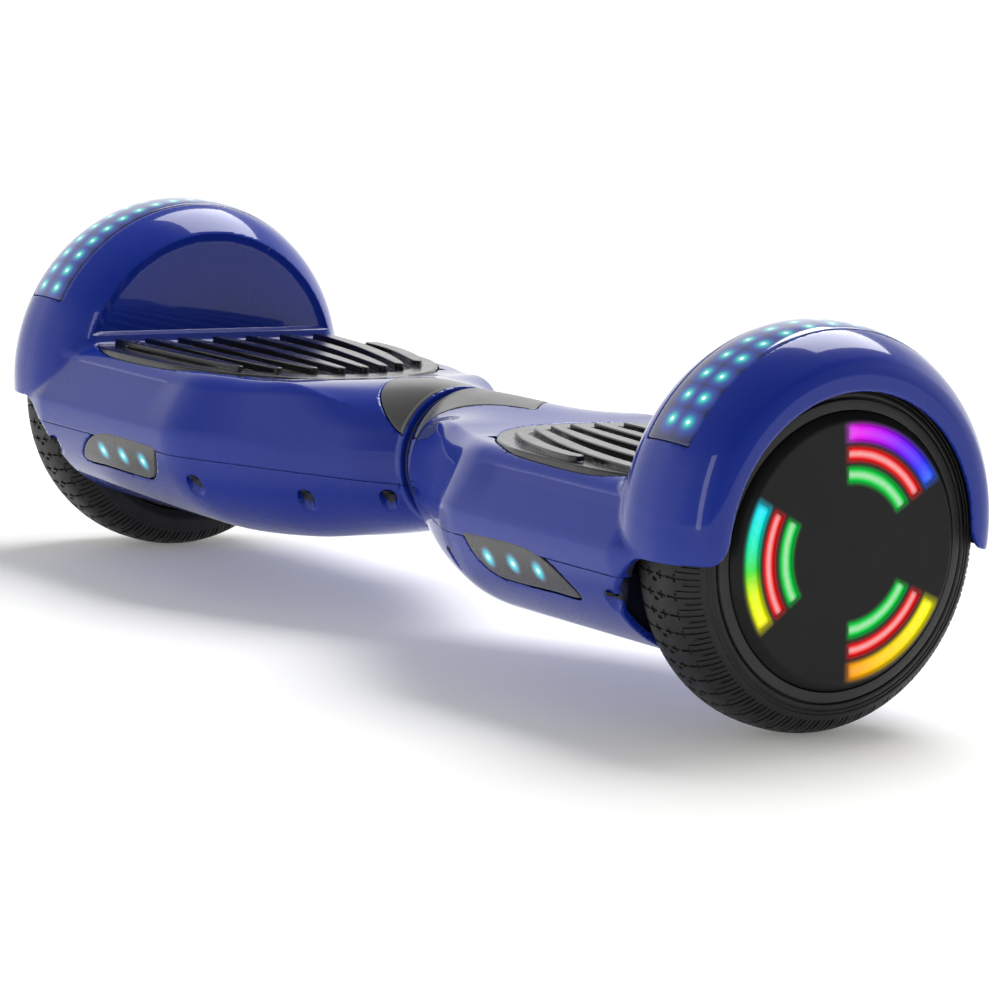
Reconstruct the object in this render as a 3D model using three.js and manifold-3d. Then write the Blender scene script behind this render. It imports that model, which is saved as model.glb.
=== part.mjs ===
// Two-wheeled self balancing board with 6.5 inch hub-motor wheels.
// Millimetres, +Z up, +X along the board from the left half to the right half,
// -Y is the front (the side with the headlights). Origin: on the floor, midway between the wheels.
import * as THREE from 'three';
import { mergeVertices } from 'three/addons/utils/BufferGeometryUtils.js';
import Module from 'manifold-3d';

const wasm = await Module();
wasm.setup();

// ---------------------------------------------------------------- driving dimensions
const GAP = 0.3;                 // clearance between neighbouring pieces
const AXLE_Z = 82.14;            // wheel axis above the floor = tyre radius
const TYRE_R = 82.14;            // crown radius of the solid tyre
const TYRE_X0 = 240.9, TYRE_X1 = 284.0;
const FENDER_R = 89.15, FENDER_Z = 89.46;   // crown radius and centre of the mudguard arc
const FENDER_X0 = 228.3, FENDER_X1 = 294.0;
const FENDER_ROLL = 15.3, FENDER_POW = 2.6; // how far the crown drops at its two edges
const FENDER_LIP_R = 66.0, FENDER_LIP_Z = 85.8;
const FENDER_BOTTOM = 79.0;
const NECK_R = 33.9, NECK_Z = 81.5, NECK_X0 = 3.2;
const PIVOT_Z = NECK_Z;          // axis on which the two halves twist
const PARTING_Z = 69.0;          // joint line of the upper and lower covers
const WALL = 3.0;
const DECK_Z = 108.5;
const PAD_TOP = 109.3, PAD_BOTTOM = 103.8, PAD_LEDGE = 101.6, PAD_TRAVEL = 1.5;
const SHELL_END = 240.0;         // outer lip of the lower cover
const LIGHT_BAR = { x0: 247.7, x1: 276.4, a0: 26.5, a1: 153.5, t: 2.4 };

// half section of the body at full width: [|y|, z] from the middle of the deck to the middle of the underside
const SECTION = [[0, DECK_Z], [40, DECK_Z], [74, DECK_Z], [78.5, 105.2], [92, 81], [91.5, 72], [88.5, 64], [82, 53], [72, 44], [60, 38], [30, 30], [0, 30]];
const NECK_ANGLES = [90, 66, 42, 24, 0, -14, -28, -42, -54, -64, -78, -90];
const STATIONS = [NECK_X0, 8, 14, 54, 92, 118, 256];

// plan outline of the foot pad, |y| mirrored
const PAD_OUTLINE = [[88, 36], [94, 48], [122, 71.5], [134, 75], [205, 75], [225.3, 68.5]];

// colours
const BLUE = { color: 0x1b2a9a, roughness: 0.12, metalness: 0.0 };
const GREY = { color: 0x4b4b4e, roughness: 0.45, metalness: 0.0 };
const BLACK = { color: 0x161617, roughness: 0.6, metalness: 0.0 };
const RUBBER = { color: 0x1a1a1b, roughness: 0.85, metalness: 0.0 };
const ALU = { color: 0x9a9da1, roughness: 0.45, metalness: 1.0 };
const STEEL = { color: 0xb4b6ba, roughness: 0.3, metalness: 1.0 };
const COPPER = { color: 0xb36a3a, roughness: 0.4, metalness: 1.0 };
const BOARD = { color: 0x0f5a34, roughness: 0.5, metalness: 0.0 };
const CELL = { color: 0x2b4f9e, roughness: 0.5, metalness: 0.0 };
const LENS = { color: 0x0b5d86, roughness: 0.15, metalness: 0.0 };
const SMOKE = { color: 0x5a5a5e, roughness: 0.2, metalness: 0.0 };
const GLOW = { color: 0xd8e8c8, roughness: 0.3, metalness: 0.0 };

// ---------------------------------------------------------------- geometry helpers
function volume(pos, idx) {
  let v = 0;
  for (let i = 0; i < idx.length; i += 3) {
    const a = idx[i] * 3, b = idx[i + 1] * 3, c = idx[i + 2] * 3;
    v += pos[a] * (pos[b + 1] * pos[c + 2] - pos[b + 2] * pos[c + 1])
       - pos[a + 1] * (pos[b] * pos[c + 2] - pos[b + 2] * pos[c])
       + pos[a + 2] * (pos[b] * pos[c + 1] - pos[b + 1] * pos[c]);
  }
  return v / 6;
}

// position-only, merged, without slivers that have collapsed, facing outwards
function tidy(source) {
  let g = source.clone();
  for (const k of Object.keys(g.attributes)) if (k !== 'position') g.deleteAttribute(k);
  g = mergeVertices(g, 1e-4);
  const pos = g.attributes.position.array;
  const src = g.index.array;
  const keep = [];
  for (let i = 0; i < src.length; i += 3) {
    const [a, b, c] = [src[i], src[i + 1], src[i + 2]];
    if (a !== b && b !== c && a !== c) keep.push(a, b, c);
  }
  if (volume(pos, keep) < 0) for (let i = 0; i < keep.length; i += 3) [keep[i + 1], keep[i + 2]] = [keep[i + 2], keep[i + 1]];
  const out = new THREE.BufferGeometry();
  out.setAttribute('position', new THREE.BufferAttribute(new Float32Array(pos), 3));
  out.setIndex(keep);
  return out;
}
function solid(g) {
  const t = tidy(g);
  return new wasm.Manifold(new wasm.Mesh({
    numProp: 3,
    vertProperties: new Float32Array(t.attributes.position.array),
    triVerts: new Uint32Array(t.index.array),
  }));
}
function geometryOf(m) {
  const mesh = m.getMesh();
  const g = new THREE.BufferGeometry();
  g.setAttribute('position', new THREE.BufferAttribute(new Float32Array(mesh.vertProperties), 3));
  g.setIndex(Array.from(mesh.triVerts));
  return tidy(g);
}
const box = (x0, x1, y0, y1, z0, z1) => solid(new THREE.BoxGeometry(x1 - x0, y1 - y0, z1 - z0).translate((x0 + x1) / 2, (y0 + y1) / 2, (z0 + z1) / 2));
function cyl(axis, r, a0, a1, u, v, n = 32) {
  const g = new THREE.CylinderGeometry(r, r, a1 - a0, n);
  if (axis === 'x') g.rotateZ(-Math.PI / 2).translate((a0 + a1) / 2, u, v);
  if (axis === 'y') g.translate(u, (a0 + a1) / 2, v);
  if (axis === 'z') g.rotateX(Math.PI / 2).translate(u, v, (a0 + a1) / 2);
  return solid(g);
}
// body of revolution about a line parallel to X; profile is [[x, r], ...]
function lathe(profile, zc, n = 48, closed = false) {
  const pts = profile.map(([x, r]) => new THREE.Vector2(r, x));
  if (closed) pts.push(pts[0].clone());
  const g = new THREE.LatheGeometry(pts, n);
  return solid(g.rotateZ(-Math.PI / 2).translate(0, 0, zc));
}
const ring = (x0, x1, r0, r1, zc = AXLE_Z, n = 48) => lathe([[x0, r0], [x0, r1], [x1, r1], [x1, r0]], zc, n, true);
// prism of an outline: axis z takes [x, y], axis x takes [y, z], axis y takes [x, z]
function prism(axis, outline, a0, a1) {
  const g = new THREE.ExtrudeGeometry(new THREE.Shape(outline.map(([u, v]) => new THREE.Vector2(u, v))), { depth: a1 - a0, bevelEnabled: false, curveSegments: 1 });
  g.translate(0, 0, a0);
  const X = new THREE.Vector3(1, 0, 0), Y = new THREE.Vector3(0, 1, 0), Z = new THREE.Vector3(0, 0, 1);
  const m = new THREE.Matrix4();
  if (axis === 'x') m.makeBasis(Y, Z, X);
  if (axis === 'y') m.makeBasis(X, Z, Y);
  if (axis === 'z') m.identity();
  g.applyMatrix4(m);
  return solid(g);
}
// skin through rings with the same number of points, closed by flat ends
function loft(rings) {
  const n = rings[0].length, pos = [], idx = [];
  for (const r of rings) for (const p of r) pos.push(...p);
  for (let i = 0; i + 1 < rings.length; i++) for (let k = 0; k < n; k++) {
    const a = i * n + k, b = i * n + (k + 1) % n, c = a + n, d = b + n;
    idx.push(a, b, c, b, d, c);
  }
  const flat = rings[0].map(([, y, z]) => new THREE.Vector2(y, z));
  for (const [p, q, r] of THREE.ShapeUtils.triangulateShape(flat, [])) idx.push(p, r, q);
  const last = (rings.length - 1) * n;
  const flat2 = rings[rings.length - 1].map(([, y, z]) => new THREE.Vector2(y, z));
  for (const [p, q, r] of THREE.ShapeUtils.triangulateShape(flat2, [])) idx.push(last + p, last + q, last + r);
  const g = new THREE.BufferGeometry();
  g.setAttribute('position', new THREE.BufferAttribute(new Float32Array(pos), 3));
  g.setIndex(idx);
  return solid(g);
}
const smooth = (a, b, x) => { const t = Math.min(1, Math.max(0, (x - a) / (b - a))); return t * t * (3 - 2 * t); };

// outline of the body at a station, moved inwards by inset
function outline(x, inset) {
  const t = x <= 8 ? 0 : x >= 118 ? 1 : 0.087 + 0.913 * (x - 8) / 110;
  const half = SECTION.map(([y, z], k) => {
    const a = NECK_ANGLES[k] * Math.PI / 180;
    const ny = NECK_R * Math.cos(a), nz = NECK_Z + NECK_R * Math.sin(a);
    const tz = k < 2 ? smooth(46, 94, x) : t;
    return [ny + (y - ny) * t, nz + (z - nz) * tz];
  });
  const full = half.map(([y, z]) => [-y, z]);
  for (let k = half.length - 2; k > 0; k--) full.push([half[k][0], half[k][1]]);
  if (!inset) return full;
  const n = full.length;
  return full.map((p, i) => {
    const a = full[(i + n - 1) % n], b = full[(i + 1) % n];
    const e1 = [p[0] - a[0], p[1] - a[1]], e2 = [b[0] - p[0], b[1] - p[1]];
    const l1 = Math.hypot(...e1), l2 = Math.hypot(...e2);
    const n1 = [-e1[1] / l1, e1[0] / l1], n2 = [-e2[1] / l2, e2[0] / l2];
    const s = 1 + n1[0] * n2[0] + n1[1] * n2[1];
    return [p[0] + inset * (n1[0] + n2[0]) / s, p[1] + inset * (n1[1] + n2[1]) / s];
  });
}
function body(x0, x1, inset) {
  const xs = [x0, ...STATIONS.filter((x) => x > x0 + 0.01 && x < x1 - 0.01), x1];
  return loft(xs.map((x) => outline(x, inset).map(([y, z]) => [x, y, z])));
}
const fenderRadius = (x, d = 0) => {
  const half = (FENDER_X1 - FENDER_X0) / 2 - d;
  const s = (x - (FENDER_X0 + FENDER_X1) / 2) / half;
  return FENDER_R - d - FENDER_ROLL * Math.min(1, Math.abs(s)) ** FENDER_POW;
};
function fenderDrum(d, n = 28) {
  const x0 = FENDER_X0 + d, x1 = FENDER_X1 - d, steps = [0, 0.12, 0.33, 0.5, 0.67, 0.88, 1];
  const prof = steps.map((s) => { const x = x0 + (x1 - x0) * s; return [x, fenderRadius(x, d)]; });
  return lathe([[x0, 0], ...prof, [x1, 0]], FENDER_Z, n);
}
const polar = (r, deg) => [r * Math.cos(deg * Math.PI / 180), r * Math.sin(deg * Math.PI / 180)];
// sector of an annulus in the YZ plane about (0, zc), extruded along X
function sector(x0, x1, r0, r1, a0, a1, zc, steps = 12) {
  const pts = [];
  for (let i = 0; i <= steps; i++) { const [y, z] = polar(r1, a0 + (a1 - a0) * i / steps); pts.push([y, z + zc]); }
  for (let i = steps; i >= 0; i--) { const [y, z] = polar(r0, a0 + (a1 - a0) * i / steps); pts.push([y, z + zc]); }
  return prism('x', pts, x0, x1);
}
const padPlan = (grow, x1 = 225.3) => {
  const right = PAD_OUTLINE.map(([x, y]) => [Math.min(x + (x < 95 ? -grow : x > 224 ? grow : 0), x1 + grow), y + grow]);
  return [...right.map(([x, y]) => [x, -y]), ...[...right].reverse().map(([x, y]) => [x, y])];
};
// plan of the saddle-shaped neck cap, seen from above
const CAP = [[5.0, 31.2], [12, 30.0], [18.7, 27.6], [24.7, 24.2], [28.8, 20.0], [33, 16.2], [40.5, 12.6], [49.3, 7.5], [57, 1.5]];
const capPlan = (g) => [...CAP.map(([x, y]) => [x + (x > 5.1 ? g : -g), -(y + g)]), ...[...CAP].reverse().map(([x, y]) => [x + (x > 5.1 ? g : -g), y + g])];
// outline of the headlight window, seen from the front [x, z]
const HEADLIGHT = [[131, 71.6], [150, 72.2], [170, 72.6], [183, 71.6], [194, 68.4], [203, 63.2], [211, 55.0], [210, 53.6], [190, 53.2], [160, 52.4], [150, 52.8], [143, 55.4], [137, 60.6]];
const headlightPlan = (g) => {
  const c = [172, 62.5];
  return HEADLIGHT.map(([x, z]) => { const l = Math.hypot(x - c[0], z - c[1]); return [x + g * 1.3 * (x - c[0]) / l, z + g * 1.3 * (z - c[1]) / l]; });
};

// ---------------------------------------------------------------- one half, built on the +X side
const pieces = [];   // { name, solid, material, side }
const add = (side, name, s, material) => pieces.push({ side, name, solid: s, material });

function buildHalf(side) {
  const tag = side > 0 ? 'right' : 'left';
  // ---- covers
  const keepUpper = prism('y', [[0, PARTING_Z + GAP / 2], [241, PARTING_Z + GAP / 2], [247, 74], [256, FENDER_BOTTOM], [300, FENDER_BOTTOM], [300, 190], [0, 190]], -120, 120);
  const bodyTop = body(NECK_X0, 256, 0).subtract(box(231.5, 300, -120, 120, 84, 190));
  let upper = bodyTop.add(fenderDrum(0)).intersect(keepUpper);
  const well = lathe([[231.3, 0], [231.3, 74], [240, 76.5], [252, 85], [273, 85], [280, 80], [291, 66], [291, 0]], AXLE_Z, 24);
  const roomTop = body(NECK_X0 - 1, FENDER_X0, WALL).subtract(box(80, 240, -120, 120, 99, 190));
  upper = upper.subtract(roomTop).subtract(fenderDrum(WALL).add(well));
  upper = upper.subtract(cyl('x', FENDER_LIP_R, 285, 300, 0, FENDER_LIP_Z, 28));
  upper = upper.subtract(prism('z', padPlan(0.4), PAD_LEDGE, 112));
  upper = upper.subtract(box(104, 214, -60, 60, 90, 112));
  upper = upper.subtract(cyl('x', 10.6, 225, 234, 0, AXLE_Z, 24));
  // saddle cap let into the neck
  const capBlank = prism('z', capPlan(0), 85, 130);
  const pocket = prism('z', capPlan(GAP), 84, 130).subtract(body(NECK_X0, 90, 1.9));
  upper = upper.subtract(pocket);
  const cap = body(NECK_X0, 90, 0).subtract(body(NECK_X0 - 1, 91, 1.5)).intersect(capBlank);
  // light bar opening in the crown of the mudguard
  const barCut = sector(LIGHT_BAR.x0, LIGHT_BAR.x1, 60, 100, LIGHT_BAR.a0, LIGHT_BAR.a1, FENDER_Z, 8);
  const barBlank = sector(LIGHT_BAR.x0 + GAP, LIGHT_BAR.x1 - GAP, 60, 100, LIGHT_BAR.a0 + 0.25, LIGHT_BAR.a1 - 0.25, FENDER_Z, 8);
  upper = upper.subtract(barCut);
  const barLens = fenderDrum(0).subtract(fenderDrum(1.2)).intersect(barBlank);
  const barBoard = fenderDrum(1.6).subtract(fenderDrum(2.8)).intersect(barBlank);
  add(side, `${tag}_upper_shell`, upper, BLUE);
  add(side, `${tag}_neck_cap`, cap, GREY);
  add(side, `${tag}_light_bar_lens`, barLens, LENS);
  add(side, `${tag}_light_bar_board`, barBoard, BOARD);

  let lower = body(NECK_X0, SHELL_END, 0).intersect(box(0, 300, -120, 120, 0, PARTING_Z - GAP / 2));
  lower = lower.subtract(body(NECK_X0 - 1, 231, WALL)).subtract(body(234, SHELL_END + 1, WALL));
  const lampCut = prism('y', headlightPlan(GAP), -110, -60);
  lower = lower.subtract(lampCut);
  const lens = body(118, 231, 0).subtract(body(117, 232, 2.4)).intersect(prism('y', headlightPlan(0), -110, -55)).intersect(box(100, 240, -110, -40, 0, PARTING_Z - GAP / 2));
  const lampBoard = prism('y', [[138, 56], [206, 56], [206, 57.2], [196, 66], [138, 66]], -75.2, -73.6);
  if (side > 0) {
    lower = lower.subtract(cyl('y', 11, 78.2, 110, 150, 57, 16)).add(cyl('y', 11, 75.4, 78.2, 150, 57, 16).intersect(body(100, 231, 0.4)));
    lower = lower.subtract(cyl('y', 7.2, 60, 110, 150, 57, 16));
    lower = lower.subtract(cyl('y', 14, 77.2, 110, 192, 57.4, 20)).add(cyl('y', 14, 74.4, 77.2, 192, 57.4, 20).intersect(body(100, 231, 0.4)).intersect(box(0, 300, -120, 120, 0, PARTING_Z - GAP / 2)));
    lower = lower.subtract(cyl('y', 8.3, 60, 110, 192, 57, 20));
  }
  add(side, `${tag}_lower_shell`, lower, BLUE);
  add(side, `${tag}_headlight_lens`, lens, SMOKE);
  add(side, `${tag}_headlight_board`, lampBoard, BOARD);

  // ---- frame casting
  let frame = cyl('x', 20, 8, 56, 0, PIVOT_Z, 24)
    .add(box(44, 66, -44, 44, 65, 69.2)).add(box(62, 66, -56, 56, 65, 69.2))
    .add(box(62, 224, -56, -50, 65, 82.6)).add(box(62, 224, 50, 56, 65, 82.6))
    .add(box(200, 224, -56, 56, 65, 69.2))
    .add(box(200, 224, -17, 17, 66, AXLE_Z - 0.1));
  if (side > 0) frame = frame.add(box(76, 84, -53, 53, 65, 69)).add(box(176, 184, -53, 53, 65, 69));
  frame = frame.subtract(cyl('x', side > 0 ? 14.4 : 12.4, 5, 60, 0, PIVOT_Z, 20));
  frame = frame.subtract(cyl('x', 8.4, 198, 226, 0, AXLE_Z, 24)).subtract(box(56, 59, -19, 19, 60, 72));
  add(side, `${tag}_frame`, frame, ALU);
  const clamp = box(201, 223, -17, 17, AXLE_Z + 0.3, 95).subtract(cyl('x', 8.4, 198, 226, 0, AXLE_Z, 24));
  add(side, `${tag}_axle_clamp`, clamp, STEEL);

  // ---- balance sensor board on the frame rails
  const gyro = box(112, 190, -55, 55, 82.9, 84.5)
    .add(box(145, 155, -41, -31, 84, 87)).add(box(145, 155, 31, 41, 84, 87)).add(box(128, 138, -6, 6, 84, 86.5));
  add(side, `${tag}_gyro_board`, gyro, BOARD);

  // ---- foot pad with the two plungers under it
  add(side, `${tag}_foot_pad`, prism('z', padPlan(0), PAD_BOTTOM, PAD_TOP), RUBBER);
  add(side, `${tag}_front_plunger`, cyl('z', 6, 89.4, PAD_BOTTOM - GAP, 150, -36, 12).add(cyl('z', 9, 101.6, PAD_BOTTOM - GAP, 150, -36, 12)), RUBBER);
  add(side, `${tag}_rear_plunger`, cyl('z', 6, 89.4, PAD_BOTTOM - GAP, 150, 36, 12).add(cyl('z', 9, 101.6, PAD_BOTTOM - GAP, 150, 36, 12)), RUBBER);

  // ---- hub motor: fixed axle and stator
  const axle = lathe([[204, 0], [204, 8], [233, 8], [233, 9.6], [239, 9.6], [239, 7.4], [252.5, 7.4], [252.5, 9.8], [270.6, 9.8], [270.6, 7.4], [278.6, 7.4], [278.6, 0]], AXLE_Z, 16);
  add(side, `${tag}_motor_axle`, axle, STEEL);
  const teeth = [];
  for (let i = 0; i < 27; i++) for (const [r, d] of [[41, -3.6], [50, -5.4], [50, 5.4], [41, 3.6]]) { const [y, z] = polar(r, (i + 0.5) * 360 / 27 + d); teeth.push([y, z + AXLE_Z]); }
  const stator = prism('x', teeth, 253, 270).subtract(cyl('x', 10.1, 250, 273, 0, AXLE_Z, 16));
  add(side, `${tag}_stator`, stator, COPPER);

  // ---- turning wheel
  const tyreProfile = [];
  for (const u of [-1, -0.55, 0, 0.55, 1]) tyreProfile.push([(TYRE_X0 + TYRE_X1) / 2 + u * (TYRE_X1 - TYRE_X0) / 2, TYRE_R - 9.4 * Math.abs(u) ** 3]);
  const tyre = lathe([[243, 62.8], ...tyreProfile, [285.2, 66.5], [283.6, 66.3], [283.6, 62.8]], AXLE_Z, 32, true);
  add(side, `${tag}_tyre`, tyre, RUBBER);
  const rim = lathe([[245, 62], [283.9, 62], [283.9, 65.6], [285.9, 65.4], [286.4, 61], [281.4, 61], [279.6, 58], [279.6, 12], [276.9, 12], [276.9, 16], [271.2, 16], [271.2, 21], [273, 56], [245, 56]], AXLE_Z, 24, true);
  add(side, `${tag}_rim`, rim, ALU);
  add(side, `${tag}_magnet_ring`, ring(250.5, 271.5, 51.6, 55.4, AXLE_Z, 24), STEEL);
  const inner = lathe([[241.3, 11], [241.3, 61.2], [244.7, 61.2], [244.7, 54], [249.4, 22], [249.4, 16.1], [242.4, 16.1], [242.4, 11]], AXLE_Z, 24, true);
  add(side, `${tag}_motor_cover`, inner, BLACK);
  add(side, `${tag}_inner_bearing`, ring(242.7, 251.4, 7.8, 15.6, AXLE_Z, 16), STEEL);
  add(side, `${tag}_outer_bearing`, ring(270.9, 276.5, 7.8, 15.5, AXLE_Z, 16), STEEL);

  // cover disc with the arc-shaped light slots, and the light guide that fills them
  let disc = lathe([[283.3, 0], [283.3, 57.2], [281.8, 57.2], [281.8, 60.6], [286.2, 60.6], [290.6, 57], [290.6, 0]], AXLE_Z, 24);
  const arcs = [];
  for (const mid of [60, -60, 180]) for (const [r0, r1] of [[31, 37], [41.5, 46.5], [49.5, 56]]) arcs.push([r0, r1, mid]);
  let guide = ring(281.9, 283.0, 24, 56.6, AXLE_Z, 16);
  for (const [r0, r1, mid] of arcs) {
    disc = disc.subtract(sector(282.9, 292, r0, r1, mid - 30, mid + 30, AXLE_Z, 3));
    guide = guide.add(sector(282.4, 290.2, r0 + GAP, r1 - GAP, mid - 29.4, mid + 29.4, AXLE_Z, 3));
  }
  add(side, `${tag}_wheel_disc`, disc, BLACK);
  add(side, `${tag}_light_guide`, guide, GLOW);
  add(side, `${tag}_wheel_light_board`, ring(280.0, 281.4, 24, 52.6, AXLE_Z, 20), BOARD);
}
buildHalf(1);
buildHalf(-1);

// ---------------------------------------------------------------- pieces found on one side only
// battery on the left, under the frame rails
add(-1, 'battery_pack', box(84, 199, -42, 42, 45, 82), CELL);
add(-1, 'battery_strap', box(120, 140, -43.8, 43.8, 43.2, 44.7).add(box(120, 140, -43.8, -42.3, 43.2, 64.7)).add(box(120, 140, 42.3, 43.8, 43.2, 64.7))
  .add(box(120, 140, -56, -42.3, 63.2, 64.7)).add(box(120, 140, 42.3, 56, 63.2, 64.7)), STEEL);
// main controller on the right, on the frame cross bars
add(1, 'main_board', box(72, 188, -44, 44, 69.3, 71)
  .add(box(88, 172, -36, 36, 52, 69.6))
  .add(cyl('z', 8, 70.5, 81, 92, -22, 16)).add(cyl('z', 8, 70.5, 81, 92, 22, 16)).add(box(120, 150, -12, 12, 70.5, 76)), BOARD);
// charging socket and its flap, power button, at the rear of the right lower cover
add(1, 'charge_port', cyl('y', 10, 60, 70.4, 192, 58, 20).add(cyl('y', 8, 66, 76.6, 192, 57, 20)).subtract(cyl('y', 5.2, 66, 80, 192, 57, 16)), BLACK);
add(1, 'charge_flap', cyl('y', 10.5, 77.6, 80, 192, 57.4, 28).add(box(187, 197, 77.6, 80, 45.4, 52)), RUBBER);
add(1, 'power_button', cyl('y', 6.8, 72.2, 80.6, 150, 57, 16).add(cyl('y', 8, 68.6, 70.8, 150, 58, 16)).add(cyl('y', 5, 70, 73, 150, 57, 12)), BLACK);
// hollow shaft on which the halves twist, its bush, circlip and the dust seal in the neck
const shaft = lathe([[-55.8, 7], [-55.8, 12], [56.1, 12], [56.1, 10.8], [58.1, 10.8], [58.1, 12], [61, 12], [61, 7]], PIVOT_Z, 20, true);
add(0, 'pivot_shaft', shaft, STEEL);
add(0, 'pivot_bush', ring(8.4, 55.6, 12.4, 14.0, PIVOT_Z, 20), { color: 0xb08d4a, roughness: 0.35, metalness: 1.0 });
add(0, 'pivot_circlip', ring(56.4, 57.8, 11.2, 16.5, PIVOT_Z, 20), STEEL);
add(0, 'neck_seal', ring(-2.8, 2.8, 24, 31.6, NECK_Z, 24), { color: 0x101a52, roughness: 0.5, metalness: 0.0 });

// ---------------------------------------------------------------- scene graph
const board = new THREE.Group();
board.name = 'self_balancing_board';
for (const p of pieces) {
  let g = geometryOf(p.solid);
  if (p.side < 0) {
    g = g.clone();
    const a = g.attributes.position.array;
    for (let i = 0; i < a.length; i += 3) a[i] = -a[i];
    g = tidy(g);
  }
  const mesh = new THREE.Mesh(g, new THREE.MeshStandardMaterial(p.material));
  mesh.name = p.name;
  board.add(mesh);
}
export default board;
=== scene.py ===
import bpy, bmesh, math, time
import numpy as np
from mathutils import Matrix, Vector


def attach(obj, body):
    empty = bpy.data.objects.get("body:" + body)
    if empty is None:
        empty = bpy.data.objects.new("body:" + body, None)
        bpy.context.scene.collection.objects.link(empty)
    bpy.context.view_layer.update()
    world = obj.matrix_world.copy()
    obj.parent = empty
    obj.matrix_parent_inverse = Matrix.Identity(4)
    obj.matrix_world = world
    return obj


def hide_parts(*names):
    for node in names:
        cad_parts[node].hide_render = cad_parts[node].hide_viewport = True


T0 = time.time()
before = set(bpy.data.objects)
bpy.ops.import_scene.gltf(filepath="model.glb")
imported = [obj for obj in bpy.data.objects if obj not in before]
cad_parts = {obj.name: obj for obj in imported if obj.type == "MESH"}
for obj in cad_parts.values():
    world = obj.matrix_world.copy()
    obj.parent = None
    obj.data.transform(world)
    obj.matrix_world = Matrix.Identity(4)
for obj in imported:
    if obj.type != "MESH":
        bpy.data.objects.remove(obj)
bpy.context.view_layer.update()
SC = bpy.context.scene

# ------------------------------------------------------------------ dimensions, millimetres
AXLE_Z = 82.14
FEN_R, FEN_Z = 89.15, 89.46
FX0, FX1 = 228.3, 294.0
NECK_R, NECK_Z, NECK_X0 = 33.9, 81.5, 3.2
PART_Z = 69.0
DECK_Z = 108.5
BAR_X0, BAR_X1, BAR_A0, BAR_A1 = 247.7, 276.4, 26.5, 153.5


# ------------------------------------------------------------------ field operations
def smin(a, b, k):
    h = np.maximum(k - np.abs(a - b), 0) / k
    return np.minimum(a, b) - h * h * k * 0.25


def smax(a, b, k):
    h = np.maximum(k - np.abs(a - b), 0) / k
    return np.maximum(a, b) + h * h * k * 0.25


def cut_round(a, b, r):
    """intersection of a and b with a round of radius r along the edge"""
    return np.minimum(-r, np.maximum(a, b)) + np.hypot(np.maximum(a + r, 0), np.maximum(b + r, 0))


def join_round(a, b, r):
    """union of a and b with a fillet of radius r in the corner"""
    return np.maximum(r, np.minimum(a, b)) - np.hypot(np.maximum(r - a, 0), np.maximum(r - b, 0))


def sstep(a, b, x):
    t = np.clip((x - a) / (b - a), 0, 1)
    return t * t * (3 - 2 * t)


class Plan:
    """signed distance to a closed 2D outline, from a table"""

    def __init__(self, pts, step=0.5, pad=16.0, smooth=3, corner=()):
        P = np.array(pts, float)
        if smooth:
            P = spline(P, smooth, set(corner))
        lo, hi = P.min(0) - pad, P.max(0) + pad
        nx, ny = (np.ceil((hi - lo) / step).astype(int) + 1)
        gx = lo[0] + step * np.arange(nx)
        gy = lo[1] + step * np.arange(ny)
        X, Y = np.meshgrid(gx, gy, indexing="ij")
        best = np.full(X.shape, 1e9)
        inside = np.zeros(X.shape, bool)
        for i in range(len(P)):
            a, b = P[i], P[(i + 1) % len(P)]
            e = b - a
            wx, wy = X - a[0], Y - a[1]
            t = np.clip((wx * e[0] + wy * e[1]) / (e @ e), 0, 1)
            best = np.minimum(best, (wx - t * e[0]) ** 2 + (wy - t * e[1]) ** 2)
            c = (a[1] > Y) != (b[1] > Y)
            if abs(e[1]) > 1e-9:
                inside ^= c & (X < a[0] + e[0] * (Y - a[1]) / e[1])
        self.d = np.where(inside, -1, 1) * np.sqrt(best)
        self.lo, self.step, self.n, self.pts = lo, step, (nx, ny), P

    def __call__(self, u, v):
        s = self.step
        fu = np.clip((u - self.lo[0]) / s, 0, self.n[0] - 1.001)
        fv = np.clip((v - self.lo[1]) / s, 0, self.n[1] - 1.001)
        i, j = fu.astype(int), fv.astype(int)
        a, b = fu - i, fv - j
        D = self.d
        return (D[i, j] * (1 - a) * (1 - b) + D[i + 1, j] * a * (1 - b) + D[i, j + 1] * (1 - a) * b + D[i + 1, j + 1] * a * b)


def spline(P, k, corner=()):
    """centripetal Catmull-Rom through closed points, with straight tangents at the named corners"""
    n = len(P)
    out = []
    for i in range(n):
        p0, p1, p2, p3 = P[i - 1], P[i], P[(i + 1) % n], P[(i + 2) % n]
        if i in corner:
            p0 = 2 * p1 - p2
        if (i + 1) % n in corner:
            p3 = 2 * p2 - p1
        t = [0.0]
        for a, b in ((p0, p1), (p1, p2), (p2, p3)):
            t.append(t[-1] + max(np.linalg.norm(b - a), 1e-6) ** 0.5)
        for u in np.linspace(t[1], t[2], k, endpoint=False):
            A1 = p0 * (t[1] - u) / (t[1] - t[0]) + p1 * (u - t[0]) / (t[1] - t[0])
            A2 = p1 * (t[2] - u) / (t[2] - t[1]) + p2 * (u - t[1]) / (t[2] - t[1])
            A3 = p2 * (t[3] - u) / (t[3] - t[2]) + p3 * (u - t[2]) / (t[3] - t[2])
            B1 = A1 * (t[2] - u) / (t[2] - t[0]) + A2 * (u - t[0]) / (t[2] - t[0])
            B2 = A2 * (t[3] - u) / (t[3] - t[1]) + A3 * (u - t[1]) / (t[3] - t[1])
            out.append(B1 * (t[2] - u) / (t[2] - t[1]) + B2 * (u - t[1]) / (t[2] - t[1]))
    return np.array(out)


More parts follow.
